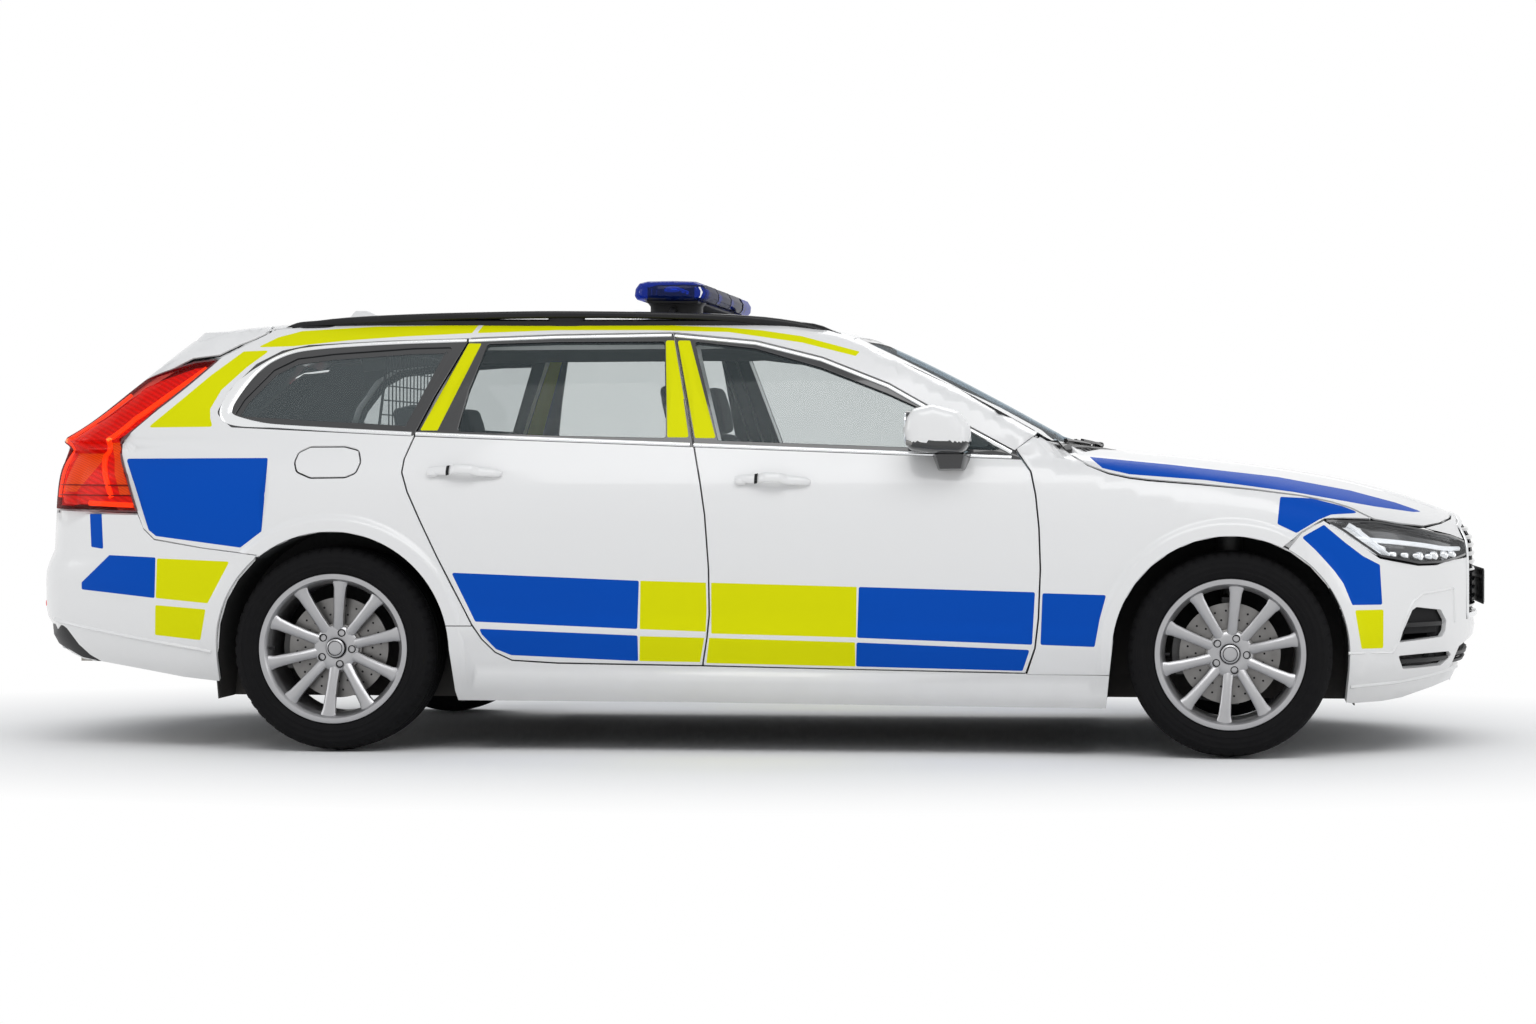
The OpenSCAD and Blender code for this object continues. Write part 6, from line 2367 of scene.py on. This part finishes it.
def make_steering_wheel():
    """A rim with three spokes and a plain hub, built flat and then leaned into place. Its
    driver's side looks down its own axis."""
    rings = []
    for k in range(72):
        a = 2 * math.pi * k / 72
        grip = 14 + 1.2 * math.cos(4 * a)
        rings.append([((STEER_R + grip * math.cos(b)) * math.cos(a),
            (STEER_R + grip * math.cos(b)) * math.sin(a), grip * math.sin(b))
            for b in np.linspace(0, 2 * math.pi, 15)[:-1]])
    sheets = [tube(rings, 0, closed=True), blob((0, 0, 2), (150, 150, 44), 0, 3.2)]
    sheets.append(wire([(0, 0, z) for z in (0, 60, 120, 178)], 13, 1))
    for a in (0, 90, 270):
        c, s = math.cos(math.radians(a)), math.sin(math.radians(a))
        rows = []
        for r, w in ((50, 30), (90, 22), (130, 19), (163, 24)):
            rows.append([(r * c - t * s, r * s + t * c, h) for t, h in ((-w, 6), (-w, -4),
                (0, -8), (w, -4), (w, 6))])
        sheets.append(tube(rows, 1, 30.0))
    lean = np.array(Matrix.Rotation(math.radians(90 + SHAFT_TILT), 3, "Y"))
    leaned = [Sheet(s.points @ lean.T + STEER_AT, s.faces, s.normals, s.finish) for s in sheets]
    plain_object("steering_wheel_form", leaned, ["lining", "gloss_black"], "steering_wheel",
        "steering_wheel")


def make_guard():
    """The cargo guard: a frame and crossed wires."""
    low, high = (np.array(v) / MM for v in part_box("cargo_guard"))
    x = (low[0] + high[0]) / 2
    z0, z1 = low[2] + 4, high[2] - 4

    def edge(z):
        return 556 - (z - z0) * 0.45

    pitch = sizes().guard_pitch / MM
    corners = [(x, -edge(z0), z0), (x, edge(z0), z0), (x, edge(z1), z1), (x, -edge(z1), z1)]
    sheets = []
    for a, b in zip(corners, corners[1:] + corners[:1]):
        sheets.append(wire([a, [(p + q) / 2 for p, q in zip(a, b)], b], 5, 0, 8))
    for k in range(1, int((z1 - z0) / pitch)):
        z = z0 + k * pitch
        sheets.append(wire([(x, -edge(z), z), (x, 0, z), (x, edge(z), z)], 2.4, 0, 6))
    n = int(edge(z1) / pitch)
    for k in range(-n, n + 1):
        y = k * pitch
        sheets.append(wire([(x, y, z0), (x, y, (z0 + z1) / 2), (x, y, z1)], 2.4, 0, 6))
    plain_object("guard_grid", sheets, ["guard_wire"], "root", "cargo_guard")


def dress_frame():
    """Finishes for the CAD pieces that show as they are."""
    dress(("floor_pan",), "underbody")
    dress(("engine_block", "front_suspension", "rear_suspension", "knuckle_left",
        "knuckle_right", "tow_sockets"), "cast_metal")
    dress(("exhaust",), "exhaust_steel")
    dress(("cowl",), "black_plastic")


# ---------------------------------------------------------------- stage and camera

LENS_MM = 72.26
FRAME_SHIFT = (-0.1783, -0.0282)
CAMERA_AT = (1.419, -10.93, 0.938)
CAMERA_YAW = 2.5
CAMERA_ROLL = 0.235


def make_camera():
    """The viewing angle: level with the waist, square to the right side, towards the front
    axle, and turned a little to the middle of the car."""
    data = bpy.data.cameras.new("camera")
    camera = bpy.data.objects.new("camera", data)
    bpy.context.scene.collection.objects.link(camera)
    bpy.context.scene.camera = camera
    data.lens = LENS_MM
    data.sensor_width = 36.0
    data.shift_x, data.shift_y = FRAME_SHIFT
    data.clip_end = 200
    yaw = Matrix.Rotation(math.radians(CAMERA_YAW), 4, "Z")
    level = Matrix.Rotation(math.radians(90), 4, "X")
    roll = Matrix.Rotation(math.radians(CAMERA_ROLL), 4, "Z")
    camera.matrix_world = Matrix.Translation(Vector(CAMERA_AT)) @ yaw @ level @ roll


def backdrop(tree, colour, strength):
    made = tree.nodes.new("ShaderNodeBackground")
    made.inputs["Color"].default_value = colour
    made.inputs["Strength"].default_value = strength
    return made


def make_world():
    """Soft cool light all round, and plain white for the eye, for reflections and through glass."""
    world = bpy.data.worlds.new("studio")
    bpy.context.scene.world = world
    world.use_nodes = True
    tree = world.node_tree
    tree.nodes.clear()
    out = tree.nodes.new("ShaderNodeOutputWorld")
    soft = backdrop(tree, (0.93, 0.96, 1.0, 1), 0.50)
    white = backdrop(tree, (1, 1, 1, 1), 1.0)
    ray = tree.nodes.new("ShaderNodeLightPath")
    seen = ray.outputs["Is Camera Ray"]
    for kind in ("Is Glossy Ray", "Is Transmission Ray"):
        most = tree.nodes.new("ShaderNodeMath")
        most.operation = "MAXIMUM"
        tree.links.new(seen, most.inputs[0])
        tree.links.new(ray.outputs[kind], most.inputs[1])
        seen = most.outputs[0]
    pick = tree.nodes.new("ShaderNodeMixShader")
    tree.links.new(seen, pick.inputs[0])
    tree.links.new(soft.outputs[0], pick.inputs[1])
    tree.links.new(white.outputs[0], pick.inputs[2])
    tree.links.new(pick.outputs[0], out.inputs[0])


def area_light(name, at, aim, size, power, colour=(1, 1, 1)):
    data = bpy.data.lights.new(name, "AREA")
    data.shape = "RECTANGLE"
    data.size = size[0]
    data.size_y = size[1]
    data.energy = power
    data.color = colour
    light = bpy.data.objects.new(name, data)
    bpy.context.scene.collection.objects.link(light)
    light.location = at
    light.rotation_euler = (Vector(aim) - Vector(at)).to_track_quat("-Z", "Y").to_euler()
    light.visible_camera = False


FLOOR_HALF = 60.0
FLOOR_Z = -0.002
FADE_LONG = 0.62
FADE_FROM = 1.35
FADE_OVER = 1.3


def make_floor():
    """A pale floor that fades to the white of the backdrop away from the car."""
    mesh = bpy.data.meshes.new("floor")
    corners = ((-1, -1), (1, -1), (1, 1), (-1, 1))
    mesh.from_pydata([(x * FLOOR_HALF, y * FLOOR_HALF, FLOOR_Z) for x, y in corners], [],
        [(0, 1, 2, 3)])
    floor = bpy.data.objects.new("floor", mesh)
    bpy.context.scene.collection.objects.link(floor)
    s = Shader("floor_white", (0.93, 0.93, 0.93), 0.9)
    s.put("Specular IOR Level", 0.0)
    _, x, y, _ = s.axes()
    across = x * FADE_LONG
    far = (((across * across + y * y) ** 0.5 - FADE_FROM) / FADE_OVER).clamped()
    white = s.node("Emission", None, {"Color": (1, 1, 1, 1), "Strength": 1.0})
    lit = Sock(s, s.base.outputs[0])
    s.put("Surface", s.node("MixShader", None, {0: far, 1: lit, 2: white}),
        s.tree.nodes["Material Output"])
    mesh.materials.append(s.mat)


def make_stage():
    bpy.context.scene.view_settings.view_transform = "Standard"
    make_world()
    make_floor()
    area_light("key", (1.5, -6.5, 7.5), (0, 0, 0.5), (9, 4), 310)
    area_light("front_fill", (9.0, -3.0, 3.5), (1.5, 0, 0.6), (4, 4), 90)
    area_light("rear_fill", (-9.0, -3.0, 3.5), (-1.5, 0, 0.6), (4, 4), 90)
    area_light("back", (0.0, 7.5, 7.0), (0, 0, 0.5), (9, 4), 260)


# ---------------------------------------------------------------- the add-on

class PatrolSizes(bpy.types.PropertyGroup):
    """Sizes of the visible pieces that the CAD frame doesn't set."""

    tread_depth: FloatProperty(name="Tread depth", description="Depth of the tyre grooves",
        default=0.0075, min=0.002, max=0.012, unit="LENGTH")
    rail_width: FloatProperty(name="Rail width", description="Width of a roof rail",
        default=0.036, min=0.02, max=0.06, unit="LENGTH")
    guard_pitch: FloatProperty(name="Guard pitch", description="Spacing of the cargo guard wires",
        default=0.05, min=0.02, max=0.1, unit="LENGTH")


class PatrolColours(bpy.types.PropertyGroup):
    """Colours of the livery."""

    body: FloatVectorProperty(name="Body", description="Body paint", subtype="COLOR",
        size=3, default=(0.77, 0.77, 0.77), min=0, max=1)
    blue: FloatVectorProperty(name="Blue film", description="Blue reflective film",
        subtype="COLOR", size=3, default=(0.0, 0.078, 0.50), min=0, max=1)
    yellow: FloatVectorProperty(name="Yellow film", description="Fluorescent yellow film",
        subtype="COLOR", size=3, default=(0.79, 0.80, 0.0), min=0, max=1)
    glass: FloatVectorProperty(name="Glass", description="Tint of the side glass",
        subtype="COLOR", size=3, default=(0.965, 0.98, 0.978), min=0, max=1)


def make_panels():
    for left in (False, True):
        make_side(left)
        make_fender(left)
    make_roof()


def make_doors():
    for left in (False, True):
        for front in (False, True):
            make_door(front, left)


def make_mirrors():
    for left in (False, True):
        make_mirror(left)


class PATROL_OT_panels(bpy.types.Operator):
    """Build the painted body sides, the front fenders and the roof."""

    bl_idname = "patrol.panels"
    bl_label = "Body panels"

    def execute(self, context):
        make_panels()
        return {"FINISHED"}


class PATROL_OT_doors(bpy.types.Operator):
    """Build the four door skins with their handles and trim."""

    bl_idname = "patrol.doors"
    bl_label = "Doors"

    def execute(self, context):
        make_doors()
        return {"FINISHED"}


class PATROL_OT_fuel_flap(bpy.types.Operator):
    """Build the skin of the fuel flap."""

    bl_idname = "patrol.fuel_flap"
    bl_label = "Fuel flap"

    def execute(self, context):
        make_flap()
        return {"FINISHED"}


class PATROL_OT_bonnet(bpy.types.Operator):
    """Build the bonnet skin with its stripes and ridges."""

    bl_idname = "patrol.bonnet"
    bl_label = "Bonnet"

    def execute(self, context):
        make_bonnet()
        return {"FINISHED"}


class PATROL_OT_tailgate(bpy.types.Operator):
    """Build the tailgate, its window, spoiler and wiper."""

    bl_idname = "patrol.tailgate"
    bl_label = "Tailgate"

    def execute(self, context):
        make_tailgate()
        return {"FINISHED"}


class PATROL_OT_glazing(bpy.types.Operator):
    """Build the side glass and the windscreen."""

    bl_idname = "patrol.glazing"
    bl_label = "Glazing"

    def execute(self, context):
        make_side_glass()
        make_windscreen()
        return {"FINISHED"}


class PATROL_OT_cowl(bpy.types.Operator):
    """Build the cowl under the windscreen and the wipers."""

    bl_idname = "patrol.cowl"
    bl_label = "Cowl and wipers"

    def execute(self, context):
        make_cowl()
        make_wipers()
        return {"FINISHED"}


class PATROL_OT_bumpers(bpy.types.Operator):
    """Build both bumpers with their air intakes and tail pipes."""

    bl_idname = "patrol.bumpers"
    bl_label = "Bumpers"

    def execute(self, context):
        make_front_bumper()
        make_rear_bumper()
        return {"FINISHED"}


class PATROL_OT_grille(bpy.types.Operator):
    """Build the front grille in its bright frame."""

    bl_idname = "patrol.grille"
    bl_label = "Grille"

    def execute(self, context):
        make_grille()
        return {"FINISHED"}


class PATROL_OT_lamps(bpy.types.Operator):
    """Build the head lamps and the tail lamps."""

    bl_idname = "patrol.lamps"
    bl_label = "Lamps"

    def execute(self, context):
        make_headlamps()
        make_tail_lamps()
        return {"FINISHED"}


class PATROL_OT_plates(bpy.types.Operator):
    """Build the blank number plates."""

    bl_idname = "patrol.plates"
    bl_label = "Plates"

    def execute(self, context):
        make_plates()
        return {"FINISHED"}


class PATROL_OT_roof_kit(bpy.types.Operator):
    """Build the roof rails, the light bar and the antenna fin."""

    bl_idname = "patrol.roof_kit"
    bl_label = "Roof equipment"

    def execute(self, context):
        make_rails()
        make_light_bar()
        make_fin()
        return {"FINISHED"}


class PATROL_OT_mirrors(bpy.types.Operator):
    """Build the two door mirrors."""

    bl_idname = "patrol.mirrors"
    bl_label = "Mirrors"

    def execute(self, context):
        make_mirrors()
        return {"FINISHED"}


class PATROL_OT_wheels(bpy.types.Operator):
    """Build the tyres, alloys and brake discs, and the arch liners."""

    bl_idname = "patrol.wheels"
    bl_label = "Wheels"

    def execute(self, context):
        make_arch_liners()
        make_wheels()
        return {"FINISHED"}


class PATROL_OT_cabin(bpy.types.Operator):
    """Build the seats, the dashboard, the steering wheel and the cargo guard."""

    bl_idname = "patrol.cabin"
    bl_label = "Cabin"

    def execute(self, context):
        make_seats()
        make_dashboard()
        make_steering_wheel()
        make_guard()
        return {"FINISHED"}


class PATROL_OT_frame(bpy.types.Operator):
    """Give the frame's own pieces that stay in view their finish."""

    bl_idname = "patrol.frame"
    bl_label = "Frame finishes"

    def execute(self, context):
        dress_frame()
        return {"FINISHED"}


class PATROL_OT_stage(bpy.types.Operator):
    """Build the camera, the studio light and the floor."""

    bl_idname = "patrol.stage"
    bl_label = "Stage"

    def execute(self, context):
        make_camera()
        make_stage()
        return {"FINISHED"}


OPERATORS = (PATROL_OT_panels, PATROL_OT_doors, PATROL_OT_fuel_flap, PATROL_OT_bonnet,
    PATROL_OT_tailgate, PATROL_OT_glazing, PATROL_OT_cowl, PATROL_OT_bumpers, PATROL_OT_grille,
    PATROL_OT_lamps, PATROL_OT_plates, PATROL_OT_roof_kit, PATROL_OT_mirrors, PATROL_OT_wheels,
    PATROL_OT_cabin, PATROL_OT_frame, PATROL_OT_stage)


class PATROL_PT_sidebar(bpy.types.Panel):
    """Sizes, colours and pieces of the patrol car."""

    bl_idname = "PATROL_PT_sidebar"
    bl_label = "Patrol car"
    bl_space_type = "VIEW_3D"
    bl_region_type = "UI"
    bl_category = "Patrol Car"

    def draw(self, context):
        column = self.layout.column()
        for group in (sizes(), colours()):
            for name in group.__annotations__:
                column.prop(group, name)
        for piece in OPERATORS:
            column.operator(piece.bl_idname)


CLASSES = (PatrolSizes, PatrolColours, *OPERATORS, PATROL_PT_sidebar)


def register():
    for c in CLASSES:
        bpy.utils.register_class(c)
    bpy.types.Scene.patrol_sizes = PointerProperty(type=PatrolSizes)
    bpy.types.Scene.patrol_colours = PointerProperty(type=PatrolColours)


def unregister():
    del bpy.types.Scene.patrol_colours
    del bpy.types.Scene.patrol_sizes
    for c in reversed(CLASSES):
        bpy.utils.unregister_class(c)


def main():
    register()
    for piece in OPERATORS:
        name = piece.bl_idname.split(".")[1]
        getattr(bpy.ops.patrol, name)()


if __name__ == "__main__":
    main()
